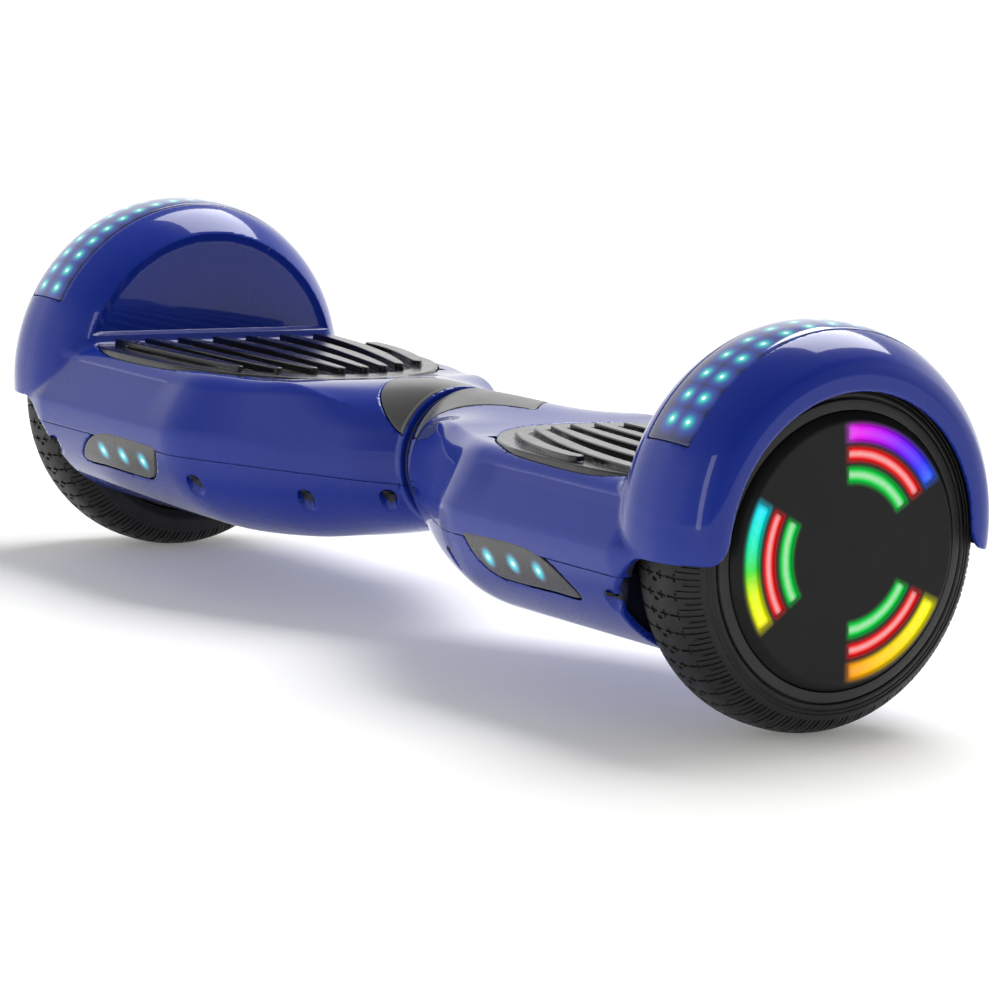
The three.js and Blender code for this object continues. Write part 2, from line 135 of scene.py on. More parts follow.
# ------------------------------------------------------------------ dual contouring of a field
def contour(f, lo, hi, h, coarse=4, slack=0.95):
    lo, hi = np.array(lo, float), np.array(hi, float)
    nb = np.ceil((hi - lo) / (h * coarse)).astype(int)
    n = nb * coarse + 1
    cx = [lo[a] + h * coarse * np.arange(nb[a] + 1) for a in range(3)]
    CX, CY, CZ = np.meshgrid(*cx, indexing="ij")
    C = f(CX.ravel(), CY.ravel(), CZ.ravel()).reshape(CX.shape)
    m = np.minimum.reduce([np.abs(C[i:i + nb[0], j:j + nb[1], k:k + nb[2]]) for i in (0, 1) for j in (0, 1) for k in (0, 1)])
    active = m < h * coarse * 1.7321 * slack
    D = np.repeat(np.repeat(np.repeat(C[:-1, :-1, :-1], coarse, 0), coarse, 1), coarse, 2)
    D = np.pad(D, ((0, 1), (0, 1), (0, 1)), mode="edge").astype(np.float64)
    M = np.repeat(np.repeat(np.repeat(active, coarse, 0), coarse, 1), coarse, 2)
    M = np.pad(M, ((0, 1), (0, 1), (0, 1)))
    M[1:] |= M[:-1].copy(); M[:, 1:] |= M[:, :-1].copy(); M[:, :, 1:] |= M[:, :, :-1].copy()
    idx = np.flatnonzero(M)
    I, J, K = np.unravel_index(idx, M.shape)
    Df = D.ravel()
    for s in range(0, len(idx), 1500000):
        e = slice(s, s + 1500000)
        Df[idx[e]] = f(lo[0] + h * I[e], lo[1] + h * J[e], lo[2] + h * K[e])
    D = Df.reshape(M.shape)
    D = np.where(D == 0, 1e-7, D)
    S = D < 0
    eps = 0.02

    def grad(P):
        g = np.stack([f(P[:, 0] + eps * (a == 0), P[:, 1] + eps * (a == 1), P[:, 2] + eps * (a == 2))
                      - f(P[:, 0] - eps * (a == 0), P[:, 1] - eps * (a == 1), P[:, 2] - eps * (a == 2)) for a in range(3)], 1)
        return g / (2 * eps)

    edges = []
    for a in range(3):
        sl0 = [slice(None)] * 3; sl1 = [slice(None)] * 3
        sl0[a] = slice(0, -1); sl1[a] = slice(1, None)
        ch = S[tuple(sl0)] != S[tuple(sl1)]
        b, c = [q for q in range(3) if q != a]
        # keep away from the outer border, where a quad has no four cells
        bad = [slice(None)] * 3
        for q in (b, c):
            for s in (slice(0, 1), slice(-1, None)):
                t = list(bad); t[q] = s
                ch[tuple(t)] = False
        ijk = np.argwhere(ch)
        d0 = D[tuple(ijk.T)]
        jj = ijk.copy(); jj[:, a] += 1
        d1 = D[tuple(jj.T)]
        t0, t1 = np.zeros(len(ijk)), np.ones(len(ijk))
        for _ in range(3):
            t = t0 - d0 * (t1 - t0) / (d1 - d0)
            t = np.clip(t, t0 + 0.02 * (t1 - t0), t1 - 0.02 * (t1 - t0))
            P = lo + h * ijk
            P[:, a] += h * t
            v = f(P[:, 0], P[:, 1], P[:, 2])
            same = (v < 0) == (d0 < 0)
            d0 = np.where(same, v, d0); t0 = np.where(same, t, t0)
            d1 = np.where(same, d1, v); t1 = np.where(same, t1, t)
        t = t0 - d0 * (t1 - t0) / (d1 - d0)
        P = lo + h * ijk
        P[:, a] += h * t
        G = grad(P)
        G /= np.maximum(np.linalg.norm(G, axis=1, keepdims=True), 1e-9)
        edges.append((a, b, c, ijk, P, G, S[tuple(ijk.T)]))
    shape = tuple(n - 1)
    tot = int(np.prod(shape))
    strides = np.array([shape[1] * shape[2], shape[2], 1])
    used = []
    for a, b, c, ijk, P, G, sg in edges:
        for ob in (-1, 0):
            for oc in (-1, 0):
                q = ijk.copy(); q[:, b] += ob; q[:, c] += oc
                used.append(q @ strides)
    keys = np.unique(np.concatenate(used))
    remap = np.full(tot, -1, np.int32)
    remap[keys] = np.arange(len(keys))
    N = len(keys)
    A = np.zeros((N, 3, 3)); B = np.zeros((N, 3)); MP = np.zeros((N, 3)); cnt = np.zeros(N)
    quads = []
    for a, b, c, ijk, P, G, sg in edges:
        cells = {}
        nP = np.einsum("ij,ij->i", G, P)
        for ob in (-1, 0):
            for oc in (-1, 0):
                q = ijk.copy(); q[:, b] += ob; q[:, c] += oc
                r = remap[q @ strides]
                cells[(ob, oc)] = r
                for u in range(3):
                    MP[:, u] += np.bincount(r, P[:, u], N)
                    B[:, u] += np.bincount(r, G[:, u] * nP, N)
                    for w in range(u, 3):
                        A[:, u, w] += np.bincount(r, G[:, u] * G[:, w], N)
                cnt += np.bincount(r, minlength=N)
        Q = np.stack([cells[(-1, -1)], cells[(0, -1)], cells[(0, 0)], cells[(-1, 0)]], 1)
        flip = sg if a != 1 else ~sg
        Q[~flip] = Q[~flip][:, ::-1]
        quads.append(Q)
    for u in range(3):
        for w in range(u):
            A[:, u, w] = A[:, w, u]
    MP /= cnt[:, None]
    R = B - np.einsum("nij,nj->ni", A, MP)
    lam = 0.08
    V = MP + np.linalg.solve(A + lam * np.eye(3), R[..., None])[..., 0]
    ci = np.stack(np.unravel_index(keys, shape), 1)
    clo = lo + h * ci
    V = np.clip(V, clo + 0.02 * h, clo + 0.98 * h)
    # settle smooth points exactly on the surface
    for _ in range(2):
        G = grad(V)
        g2 = np.maximum(np.einsum("ij,ij->i", G, G), 0.05)
        step = f(V[:, 0], V[:, 1], V[:, 2])[:, None] * G / g2[:, None]
        L = np.linalg.norm(step, axis=1, keepdims=True)
        V = V - step * np.minimum(1, 0.35 * h / np.maximum(L, 1e-9))
    G = grad(V)
    G /= np.maximum(np.linalg.norm(G, axis=1, keepdims=True), 1e-9)
    return V, np.concatenate(quads), G


def mesh_object(name, V, F, N=None, mat=None, limit=32.0):
    """V in millimetres"""
    me = bpy.data.meshes.new(name)
    V = np.asarray(V, float) * 0.001
    F = np.asarray(F)
    me.vertices.add(len(V)); me.vertices.foreach_set("co", V.ravel())
    k = F.shape[1]
    me.loops.add(F.size); me.loops.foreach_set("vertex_index", F.ravel().astype(np.int32))
    me.polygons.add(len(F))
    me.polygons.foreach_set("loop_start", np.arange(0, F.size, k, dtype=np.int32))
    me.polygons.foreach_set("loop_total", np.full(len(F), k, np.int32))
    me.update(calc_edges=True)
    me.polygons.foreach_set("use_smooth", np.ones(len(F), bool))
    if N is not None:
        a, b, c, d = (V[F[:, i]] for i in range(4)) if k == 4 else (V[F[:, 0]], V[F[:, 1]], V[F[:, 2]], V[F[:, 0]])
        fn = np.cross(c - a, d - b) if k == 4 else np.cross(b - a, c - a)
        fn /= np.maximum(np.linalg.norm(fn, axis=1, keepdims=True), 1e-12)
        ln = N[F.ravel()]
        fr = np.repeat(fn, k, axis=0)
        off = np.einsum("ij,ij->i", ln, fr) < math.cos(math.radians(limit))
        ln[off] = fr[off]
        me.normals_split_custom_set(ln)
    ob = bpy.data.objects.new(name, me)
    SC.collection.objects.link(ob)
    if mat:
        me.materials.append(mat)
    return ob


# ------------------------------------------------------------------ shape of one half (x > 0)
def spans(x):
    Y = smin(41.0 + (x - 12.0) * 0.4860, 33.9 + np.maximum(x - 7.0, 0) * 1.0, 8.0)
    Y = np.maximum(smin(Y, 92.0, 5.0), 33.9) - 3.2 * sstep(240, 262, x)
    Zt = 115.4 + (DECK_Z - 115.4) * sstep(18, 100, x)
    t = np.clip((x - 5.0) / 113.0, 0, 1)
    Zb = 47.6 - 17.6 * (1 - (1 - t) ** 1.8)
    return Y, Zt, Zb


def section(yq, zq, sink=0.0, lean=0.5089):
    up = np.cos(lean) * (yq - 92.0) + np.sin(lean) * (zq - 81.0)
    up = up + sink * np.clip((zq - 81.0) / 16.0, 0, 1) * np.clip((102.3 - zq) / 1.1, 0, 1)
    top = zq - DECK_Z
    f = cut_round(up, top, 6.5)
    q1 = np.maximum(yq - 30.0, 0) / 62.0
    q2 = np.maximum(84.0 - zq, 0) / 54.0
    L = np.maximum(np.hypot(q1, q2), 1e-3)
    g = np.maximum(np.hypot(q1 / 62.0, q2 / 54.0) / L, 1 / 62.0)
    low = (L - 1) / g
    low = np.where(zq > 84.0, yq - 92.0, low)
    return cut_round(f, low, 1.0)


def body_field(x, y, z):
    Y, Zt, Zb = spans(x)
    ay = np.abs(y)
    sy = Y / 92.0
    su, sl = (Zt - 81.0) / (DECK_Z - 81.0), (81.0 - Zb) / 51.0
    zq = 81.0 + np.where(z > 81.0, (z - 81.0) / su, (z - 81.0) / sl)
    s = np.minimum(sy, np.minimum(su, sl))
    fp = section(ay / sy, zq, 0.95 * sstep(124, 146, x), 0.30 + 0.2089 * sstep(15, 112, x)) * s
    en, et = Y / NECK_R, np.where(z > NECK_Z, (Zt - NECK_Z) / NECK_R, (NECK_Z - Zb) / NECK_R)
    fc = (np.hypot(ay / en, (z - NECK_Z) / et) - NECK_R) * np.minimum(en, et)
    w = sstep(10, 78, x)
    f = fc * (1 - w) + fp * w
    return cut_round(f, NECK_X0 - x, 1.0)


def fender_field(x, y, z, d=0.0):
    rho = np.hypot(y, z - FEN_Z)
    half = (FX1 - FX0) / 2 - d
    s = np.abs(x - (FX0 + FX1) / 2) / half
    sc = np.minimum(s, 1.15)
    r = FEN_R - d - 15.3 * sc ** 2.6
    sl = 15.3 * 2.6 * sc ** 1.6 / half
    g = (rho - r) / np.sqrt(1 + sl * sl)
    f = cut_round(g, x - (FX1 - d), 3.0)
    return cut_round(f, FX0 + d - x, 1.2)


def well_field(x, y, z):
    rho = np.hypot(y, z - AXLE_Z)
    s = np.abs(x - 262.45) / 23.0
    r = 85.8 - 10.0 * np.minimum(s, 1.6) ** 3
    return np.maximum((rho - r) * 0.8, 232.5 - x)


PAD_PTS = [(82, 0), (83.2, 17), (87.5, 32), (96, 45.5), (108.5, 57.5), (123, 67), (140, 73.2), (160, 75), (204, 75), (216.5, 72.6), (225.3, 69.0)]
PAD = Plan(PAD_PTS + [(225.3, 30), (225.3, -30)] + [(x, -y) for x, y in reversed(PAD_PTS[1:])], smooth=4, corner=(10, 11, 12, 13))
# outline of the neck cap, unrolled round the neck: (x, arc length from the top)
CAP_PTS = [(4.6, 38.6), (8.5, 37.4), (12.5, 35.4), (17, 32.8), (22, 29.9), (28, 26.2), (34, 21.6), (39.5, 16.9), (45, 11.5), (51, 5.8)]
CAP_PLAN = Plan([(4.6, 0)] + CAP_PTS + [(55.5, 1.4), (55.5, -1.4)] + [(x, -y) for x, y in reversed(CAP_PTS)], smooth=5, corner=(0, 1, 22))


def CAP(x, y, z):
    return CAP_PLAN(x, np.arctan2(y, np.maximum(z - 78.0, 0.5)) * 33.9)


LAMP_PTS = [(131, 71.6), (150, 72.2), (170, 72.6), (183, 71.6), (194, 68.4), (203, 63.2), (211.5, 55.2), (210.4, 53.5), (190, 53.0), (160, 52.3), (150, 52.8), (143, 55.4), (137, 60.6)]
LAMP = Plan(LAMP_PTS, smooth=5, corner=(0,))
SCREWS = [(237.5, 84.6, 61.5), (110.5, 79.5, 60.5), (53.5, 52.0, 61.0), (13.5, 32.0, 65.5)]


def arch_top(x):
    return 79.5 - 10.5 * np.clip((262.0 - x) / 15.0, 0, 1) ** 2


def hull_field(x, y, z):
    """outside of both covers of one half, with the mudguard"""
    b = body_field(x, y, z)
    xl = 247.0 + 15.5 * np.clip((z - PART_Z) / 11.5, 0, 1) ** 0.7
    xl = np.where(z > 96.0, 262.5 - 28.0 * sstep(96, 107, z), xl)
    b = smax(b, (x - xl) * 0.7, 1.0)
    fe = fender_field(x, y, z)
    near_deck = sstep(100, 106, z)
    r = 1.0 + 3.8 * near_deck
    return join_round(b, fe, r)


def upper_field(x, y, z):
    f = hull_field(x, y, z)
    # sunken panel on the inner side of the mudguard
    rho = np.hypot(y, z - 89.5)
    t1 = np.clip((75.4 - rho) / 5.4, 0, 1)
    t2 = np.clip((z - 113.2) / 1.8, 0, 1)
    depth = 2.1 * np.minimum(t1 * (1.6 - 0.6 * t1), t2)
    f = np.maximum(f, np.where(x < FX0 + 4.0, (FX0 + depth - x) * 0.9, -9.0) * np.where((rho < 76) & (z > 112.5) & (x > 150), 1.0, 0.0) - np.where((rho < 76) & (z > 112.5) & (x > 150), 0.0, 9.0))
    # lower edge
    low = np.where(x < 247.0, PART_Z + 0.10 - z, (arch_top(x) - z) * 0.75)
    f = cut_round(f, low, 0.3)
    # hollow inside
    ceil = z - (98.6 + 10.0 * sstep(70, 56, x))
    wall = 3.0 + 1.8 * sstep(68, 58, x) * sstep(80, 86, z)
    room = np.maximum(np.maximum(body_field(np.maximum(x, NECK_X0 + 1.0), y, z) + wall, ceil), x - 227.5)
    hollow = np.maximum(fender_field(x, y, z, 3.0), 232.5 - x)
    hollow = np.minimum(hollow, well_field(x, y, z))
    f = np.maximum(f, -smin(room, hollow, 0.5))
    # wheel opening
    ring = np.hypot(y, z - 85.8) - 66.0
    lip = cut_round(79.5 - z, -ring, 12.0)
    f = smax(f, np.minimum(lip, x - 284.0), 1.6)
    # seat of the foot pad and the opening under it
    p = PAD(x, y)
    f = smax(f, -np.maximum(p - 0.45, 101.6 - z), 0.9)
    f = np.maximum(f, -np.maximum(np.maximum(np.abs(x - 159) - 55, np.abs(y) - 60), 90 - z))
    # neck cap pocket
    c = CAP(x, y, z)
    f = smax(f, -np.maximum(np.maximum(c - 0.30, 84 - z), -(body_field(x, y, z) + 1.9)), 0.4)
    # light bar slot
    f = smax(f, -bar_wedge(x, y, z, 0.0), 0.6)
    # axle hole
    f = np.maximum(f, -np.maximum(np.hypot(y, z - AXLE_Z) - 10.6, np.abs(x - 230) - 6))
    return f


def bar_wedge(x, y, z, inset):
    """the space of the lamp strip in the crown"""
    zz = z - FEN_Z
    ay = np.abs(y)
    a = math.radians(BAR_A0)
    # distance to the radial plane at the strip's end
    end = ay * math.sin(a) - zz * math.cos(a)
    w = np.abs(x - (BAR_X0 + BAR_X1) / 2) - (BAR_X1 - BAR_X0) / 2
    return cut_round(end + inset, w + inset, 1.2 + inset * 0.5)


def lower_field(x, y, z):
    b = body_field(x, y, z)
    xe = 238.5 + 8.5 * np.clip((z - 50.0) / 19.0, 0, 1.05) ** 2
    out = cut_round(b, (x - xe) * 0.85, 1.0)
    f = cut_round(out, z - (PART_Z - 0.10), 0.25)
    inner = b + 3.0
    bx = np.abs(x - 300)
    boss = np.full(x.shape, 1e3)
    hole = np.full(x.shape, 1e3)
    for sx, sy, sz in SCREWS:
        r = np.hypot(x - sx, np.abs(y) - sy)
        boss = np.minimum(boss, r - 7.2)
        hole = np.minimum(hole, cut_round(r - 4.4, z - sz, 2.6))
    room = np.maximum(inner, x - 231.0)
    room = np.maximum(room, -boss)
    recess = np.maximum(np.maximum(b + 3.6, 234.0 - x), -boss)
    f = smax(f, -room, 0.5)
    f = smax(f, -recess, 0.8)
    f = smax(f, -hole, 0.6)
    lamp = np.maximum(LAMP(x, z) - 0.4, y + 50)
    f = smax(f, -lamp, 0.6)
    # shallow step round the underside panel
    pl = cut_round(np.abs(x - 158) - 56, np.abs(y) - 27, 8)
    f = smax(f, -np.maximum(np.abs(pl) - 0.5, z - 30.7), 0.3)
    return f


def lower_right_field(x, y, z):
    f = lower_field(x, y, z)
    for cx, r, yf, hr in ((150.0, 11.0, 78.2, 7.2), (192.0, 13.0, 77.2, 8.3)):
        rad = np.hypot(x - cx, z - 57.0)
        cup = np.maximum(np.maximum(rad - r, yf - y), y - 130)
        f = np.maximum(f, 0) * 0 + f
        floor = np.maximum(np.maximum(rad - (r + 2.0), np.abs(y - (yf - 1.4)) - 1.4), body_field(x, y, z))
        f = np.minimum(f, floor)
        f = smax(f, -cup, 0.8)
        f = smax(f, -np.maximum(rad - hr, np.abs(y - 80) - 25), 0.5)
    return f


def cap_field(x, y, z):
    b = body_field(np.maximum(x, NECK_X0 + 1.2), y, z) - 0.1
    f = np.maximum(b, -(b + 1.7))
    return np.maximum(cut_round(f, CAP(x, y, z) + 0.25, 0.6), 84 - z)


def lamp_field(x, y, z):
    b = body_field(x, y, z) - 0.15
    f = np.maximum(b, -(b + 2.6))
    f = cut_round(f, LAMP(x, z) + 0.45, 0.7)
    return np.maximum(f, y + 50)


def bar_field(x, y, z):
    g = fender_field(x, y, z) - 0.1
    f = np.maximum(g, -(g + 2.3))
    return cut_round(f, bar_wedge(x, y, z, 0.45), 0.7)


# ------------------------------------------------------------------ foot pad of the right half
RIBS = [((117, -51), (184, -69.0)), ((110, -35.5), (223, -62.0)), ((104, -22), (223, -41.8)), ((101, -9), (223, -21.2)),
        ((101, 4.5), (223, -1.5)), ((104, 19), (223, 19.4)), ((108, 37), (223, 38.6)), ((118, 53), (223, 56.0))]


class RibTable:
    def __init__(self, step=0.5):
        self.lo = np.array([80.0, -82.0]); self.step = step
        gx = np.arange(80, 232, step); gy = np.arange(-82, 82, step)
        X, Y = np.meshgrid(gx, gy, indexing="ij")
        D = np.full(X.shape, 1e3)
        for (x1, y1), (x2, y2) in RIBS:
            t = np.linspace(0, 1, 25)
            px = x1 + (x2 - x1) * t
            py = y1 + (y2 - y1) * (1 - (1 - t) ** 1.45) - 1.6 * np.sin(np.pi * t) * (y2 < 10)
            w = 2.3 + 1.7 * np.minimum(1, t * 3.2) ** 0.7
            for i in range(24):
                ax, ay, bx, by = px[i], py[i], px[i + 1], py[i + 1]
                ex, ey = bx - ax, by - ay
                q = np.clip(((X - ax) * ex + (Y - ay) * ey) / (ex * ex + ey * ey), 0, 1)
                D = np.minimum(D, np.hypot(X - ax - q * ex, Y - ay - q * ey) - (w[i] + (w[i + 1] - w[i]) * q))
        self.D, self.n = D, D.shape

    def __call__(self, u, v):
        s = self.step
        fu = np.clip((u - self.lo[0]) / s, 0, self.n[0] - 1.001)
        fv = np.clip((v - self.lo[1]) / s, 0, self.n[1] - 1.001)
        i, j = fu.astype(int), fv.astype(int)
        a, b = fu - i, fv - j
        D = self.D
        return D[i, j] * (1 - a) * (1 - b) + D[i + 1, j] * a * (1 - b) + D[i, j + 1] * (1 - a) * b + D[i + 1, j + 1] * a * b


RIB = RibTable()


def pad_field(x, y, z):
    p = PAD(x, y)
    f = cut_round(np.maximum(p, 103.8 - z), z - 109.35, 1.3)
    dish = cut_round(p + 12.5, 108.1 - z, 0.6)
    f = smax(f, -dish, 0.6)
    r = np.maximum(RIB(x, y), x - 224.3)
    bar = cut_round(np.maximum(r, p + 1.2), z - 112.0, 0.55)
    bar = np.maximum(bar, 106.0 - z)
    return join_round(f, bar, 0.4)


# ------------------------------------------------------------------ materials
class Nodes:
    def __init__(self, name):
        self.m = bpy.data.materials.new(name)
        self.m.use_nodes = True
        self.t = self.m.node_tree
        self.bsdf = next(n for n in self.t.nodes if n.type == "BSDF_PRINCIPLED")
        self.tc = None

    def new(self, kind, **kw):
        n = self.t.nodes.new(kind)
        for k, v in kw.items():
            setattr(n, k, v)
        return n

    def link(self, a, b):
        self.t.links.new(a, b)

    def set(self, **kw):
        for k, v in kw.items():
            self.bsdf.inputs[k.replace("_", " ")].default_value = v
        return self

    def coord(self):
        if self.tc is None:
            self.tc = self.new("ShaderNodeTexCoord").outputs["Object"]
        return self.tc

    def noise(self, scale, detail=3.0, rough=0.55, dist=0.0, vec=None):
        n = self.new("ShaderNodeTexNoise")
        n.inputs["Scale"].default_value = scale
        n.inputs["Detail"].default_value = detail
        n.inputs["Roughness"].default_value = rough
        n.inputs["Distortion"].default_value = dist
        self.link(vec or self.coord(), n.inputs["Vector"])
        return n.outputs["Fac"]

    def voronoi(self, scale, feature="F1"):
        n = self.new("ShaderNodeTexVoronoi", feature=feature)
        n.inputs["Scale"].default_value = scale
        self.link(self.coord(), n.inputs["Vector"])
        return n.outputs["Distance"]

    def stretch(self, sx, sy, sz):
        n = self.new("ShaderNodeMapping")
        n.inputs["Scale"].default_value = (sx, sy, sz)
        self.link(self.coord(), n.inputs["Vector"])
        return n.outputs["Vector"]

    def ramp(self, fac, stops, interp="LINEAR"):
        n = self.new("ShaderNodeValToRGB")
        n.color_ramp.interpolation = interp
        el = n.color_ramp.elements
        while len(el) < len(stops):
            el.new(0.5)
        for e, (p, c) in zip(el, stops):
            e.position = p
            e.color = (*c, 1) if len(c) == 3 else c
        self.link(fac, n.inputs["Fac"])
        return n.outputs["Color"]

    def span(self, fac, a, b, lo=0.0, hi=1.0, clamp=True):
        n = self.new("ShaderNodeMapRange", clamp=clamp)
        for k, v in (("From Min", a), ("From Max", b), ("To Min", lo), ("To Max", hi)):
            n.inputs[k].default_value = v
        self.link(fac, n.inputs["Value"])
        return n.outputs["Result"]

    def math(self, op, a, b=None, c=None):
        n = self.new("ShaderNodeMath", operation=op)
        for i, v in enumerate((a, b, c)):
            if v is None:
                continue
            if isinstance(v, (int, float)):
                n.inputs[i].default_value = v
            else:
                self.link(v, n.inputs[i])
        return n.outputs[0]

    def mix(self, fac, a, b, mode="MIX"):
        n = self.new("ShaderNodeMix", data_type="RGBA", blend_type=mode)
        for s, v in ((n.inputs[0], fac), (n.inputs[6], a), (n.inputs[7], b)):
            if isinstance(v, (int, float)):
                s.default_value = v
            elif isinstance(v, tuple):
                s.default_value = (*v, 1)
            else:
                self.link(v, s)
        return n.outputs[2]

    def bump(self, height, strength, dist=0.0005, after=None):
        n = self.new("ShaderNodeBump")
        n.inputs["Strength"].default_value = strength
        n.inputs["Distance"].default_value = dist
        self.link(height, n.inputs["Height"])
        if after is not None:
            self.link(after, n.inputs["Normal"])
        return n.outputs["Normal"]

    def out(self, **kw):
        for k, v in kw.items():
            self.link(v, self.bsdf.inputs[k.replace("_", " ")])
        return self.m

    def axes(self):
        n = self.new("ShaderNodeSeparateXYZ")
        self.link(self.coord(), n.inputs[0])
        return n.outputs[0], n.outputs[1], n.outputs[2]


def paint_blue():
    n = Nodes("body_blue_gloss")
    n.set(Metallic=0.0, IOR=1.5, Coat_Weight=1.0, Coat_Roughness=0.03, Coat_IOR=1.37, Specular_IOR_Level=0.10)
    big = n.noise(9.0, 2.0)
    col = n.ramp(big, [(0.3, (0.0060, 0.0260, 0.300)), (0.7, (0.0078, 0.0320, 0.345))])
    fleck = n.noise(5200.0, 1.0)
    col = n.mix(n.span(fleck, 0.60, 0.80, 0.0, 0.16), col, (0.020, 0.050, 0.42))
    r = n.span(n.noise(38.0, 4.0), 0.3, 0.7, 0.21, 0.30)
    peel = n.bump(n.noise(260.0, 1.0), 0.012, 0.0003)
    return n.out(Base_Color=col, Roughness=r, Normal=peel)


def plastic(name, c0, c1, r0, r1, grain=1400.0, strength=0.12, coat=0.0, coat_r=0.1, spec=0.5):
    n = Nodes(name)
    n.set(Coat_Weight=coat, Coat_Roughness=coat_r, Specular_IOR_Level=spec)
    col = n.ramp(n.noise(26.0, 3.0), [(0.3, c0), (0.7, c1)])
    r = n.span(n.noise(70.0, 4.0), 0.3, 0.7, r0, r1)
    b = n.bump(n.noise(grain, 2.0), strength, 0.0003)
    return n.out(Base_Color=col, Roughness=r, Normal=b)


def metal(name, c0, c1, r0, r1, brushed=(1, 1, 1), strength=0.1, scale=900.0):
    n = Nodes(name)
    n.set(Metallic=1.0)
    v = n.stretch(*brushed)
    col = n.ramp(n.noise(40.0, 3.0), [(0.3, c0), (0.7, c1)])
    g = n.noise(scale, 3.0, vec=v)
    r = n.span(g, 0.3, 0.7, r0, r1)
    return n.out(Base_Color=col, Roughness=r, Normal=n.bump(g, strength, 0.0003))


def rubber():
    n = Nodes("tyre_rubber_fine")
    n.set(Specular_IOR_Level=0.42)
    dust = n.noise(60.0, 5.0, 0.65)
    col = n.ramp(dust, [(0.30, (0.0085, 0.0085, 0.0088)), (0.72, (0.0165, 0.0162, 0.0160))])
    r = n.span(n.noise(140.0, 4.0), 0.3, 0.7, 0.46, 0.62)
    b = n.bump(n.noise(1900.0, 3.0), 0.30, 0.0003)
    return n.out(Base_Color=col, Roughness=r, Normal=b)


def board():
    n = Nodes("circuit_board_green")
    n.set(Coat_Weight=0.4, Coat_Roughness=0.15)
    x, y, z = n.axes()
    tr = n.math("FRACT", n.math("MULTIPLY", n.math("ADD", x, n.math("MULTIPLY", n.math("PINGPONG", y, 0.006), 1.0)), 420.0))
    line = n.span(tr, 0.42, 0.5, 0.0, 1.0)
    pads = n.span(n.voronoi(260.0), 0.22, 0.26, 1.0, 0.0)
    col = n.mix(line, (0.010, 0.075, 0.026), (0.018, 0.115, 0.045))
    col = n.mix(pads, col, (0.55, 0.50, 0.38))
    return n.out(Base_Color=col, Roughness=n.span(pads, 0.0, 1.0, 0.42, 0.25), Metallic=n.span(pads, 0.0, 1.0, 0.0, 0.9))


def copper():
    n = Nodes("copper_winding_wire")
    n.set(Metallic=1.0)
    x, y, z = n.axes()
    r = n.math("SQRT", n.math("ADD", n.math("MULTIPLY", y, y), n.math("MULTIPLY", n.math("SUBTRACT", z, 0.08214), n.math("SUBTRACT", z, 0.08214))))
    w = n.math("PINGPONG", n.math("MULTIPLY", r, 1000.0), 0.5)
    w2 = n.math("PINGPONG", n.math("MULTIPLY", x, 1100.0), 0.5)
    h = n.math("MAXIMUM", w, w2)
    col = n.ramp(n.noise(300.0, 2.0), [(0.3, (0.60, 0.21, 0.07)), (0.7, (0.78, 0.33, 0.13))])
    return n.out(Base_Color=col, Roughness=n.span(n.noise(220.0), 0.3, 0.7, 0.22, 0.36), Normal=n.bump(h, 0.5, 0.0004))


def lamp_falloff(n, d, strip):
    """colour of the tinted window by distance (mm) from the nearest lamp"""
    t = n.math("DIVIDE", d, 9.0)
    if strip:
        return n.ramp(t, [(0.0, (0.80, 1.0, 0.96)), (0.09, (0.42, 1.0, 0.90)), (0.20, (0.05, 0.72, 0.66)), (0.33, (0.030, 0.300, 0.420)), (0.48, (0.035, 0.090, 0.400)),
                          (0.62, (0.032, 0.060, 0.300)), (0.85, (0.022, 0.030, 0.120)), (1.0, (0.015, 0.020, 0.070))])
    return n.ramp(t, [(0.0, (0.60, 1.0, 0.95)), (0.12, (0.20, 0.95, 0.90)), (0.28, (0.03, 0.58, 0.66)), (0.40, (0.04, 0.25, 0.42)), (0.52, (0.020, 0.045, 0.075)),
                      (0.64, (0.0, 0.0, 0.0))])


def glow_rows(name, rows, pitch_deg, count):
    """tinted lamp strip: soft light round each lamp of the rows behind it"""
    n = Nodes(name)
    n.set(Coat_Weight=1.0, Coat_Roughness=0.04, Specular_IOR_Level=0.3)
    x, y, z = n.axes()
    dz = n.math("SUBTRACT", z, FEN_Z / 1000)
    ang = n.math("MULTIPLY", n.math("ARCTAN2", dz, y), 180 / math.pi)
    k = n.math("DIVIDE", n.math("SUBTRACT", ang, 90.0), pitch_deg)
    if count % 2 == 0:
        k = n.math("ADD", k, 0.5)
    lim = (count - 1) / 2 if count % 2 else count / 2
    kc = n.math("MINIMUM", n.math("MAXIMUM", n.math("ROUND", k), -lim), lim)
    du = n.math("MULTIPLY", n.math("SUBTRACT", k, kc), pitch_deg * math.pi / 180 * 88.5)
    ax = n.math("MULTIPLY", n.math("ABSOLUTE", x), 1000.0)
    best = None
    for r in rows:
        dx = n.math("SUBTRACT", ax, r)
        d = n.math("SQRT", n.math("ADD", n.math("MULTIPLY", du, du), n.math("MULTIPLY", dx, dx)))
        best = d if best is None else n.math("MINIMUM", best, d)
    wob = n.math("ADD", best, n.span(n.noise(900.0, 2.0), 0.3, 0.7, -0.12, 0.12))
    em = lamp_falloff(n, wob, True)
    n.bsdf.inputs["Emission Strength"].default_value = 0.85
    base = n.ramp(n.noise(60.0, 2.0), [(0.3, (0.010, 0.014, 0.050)), (0.7, (0.014, 0.020, 0.064))])
    r_ = n.span(n.noise(90.0, 3.0), 0.3, 0.7, 0.10, 0.15)
    return n.out(Base_Color=base, Emission_Color=em, Roughness=r_, Normal=n.bump(n.noise(700.0, 2.0), 0.02, 0.0003))


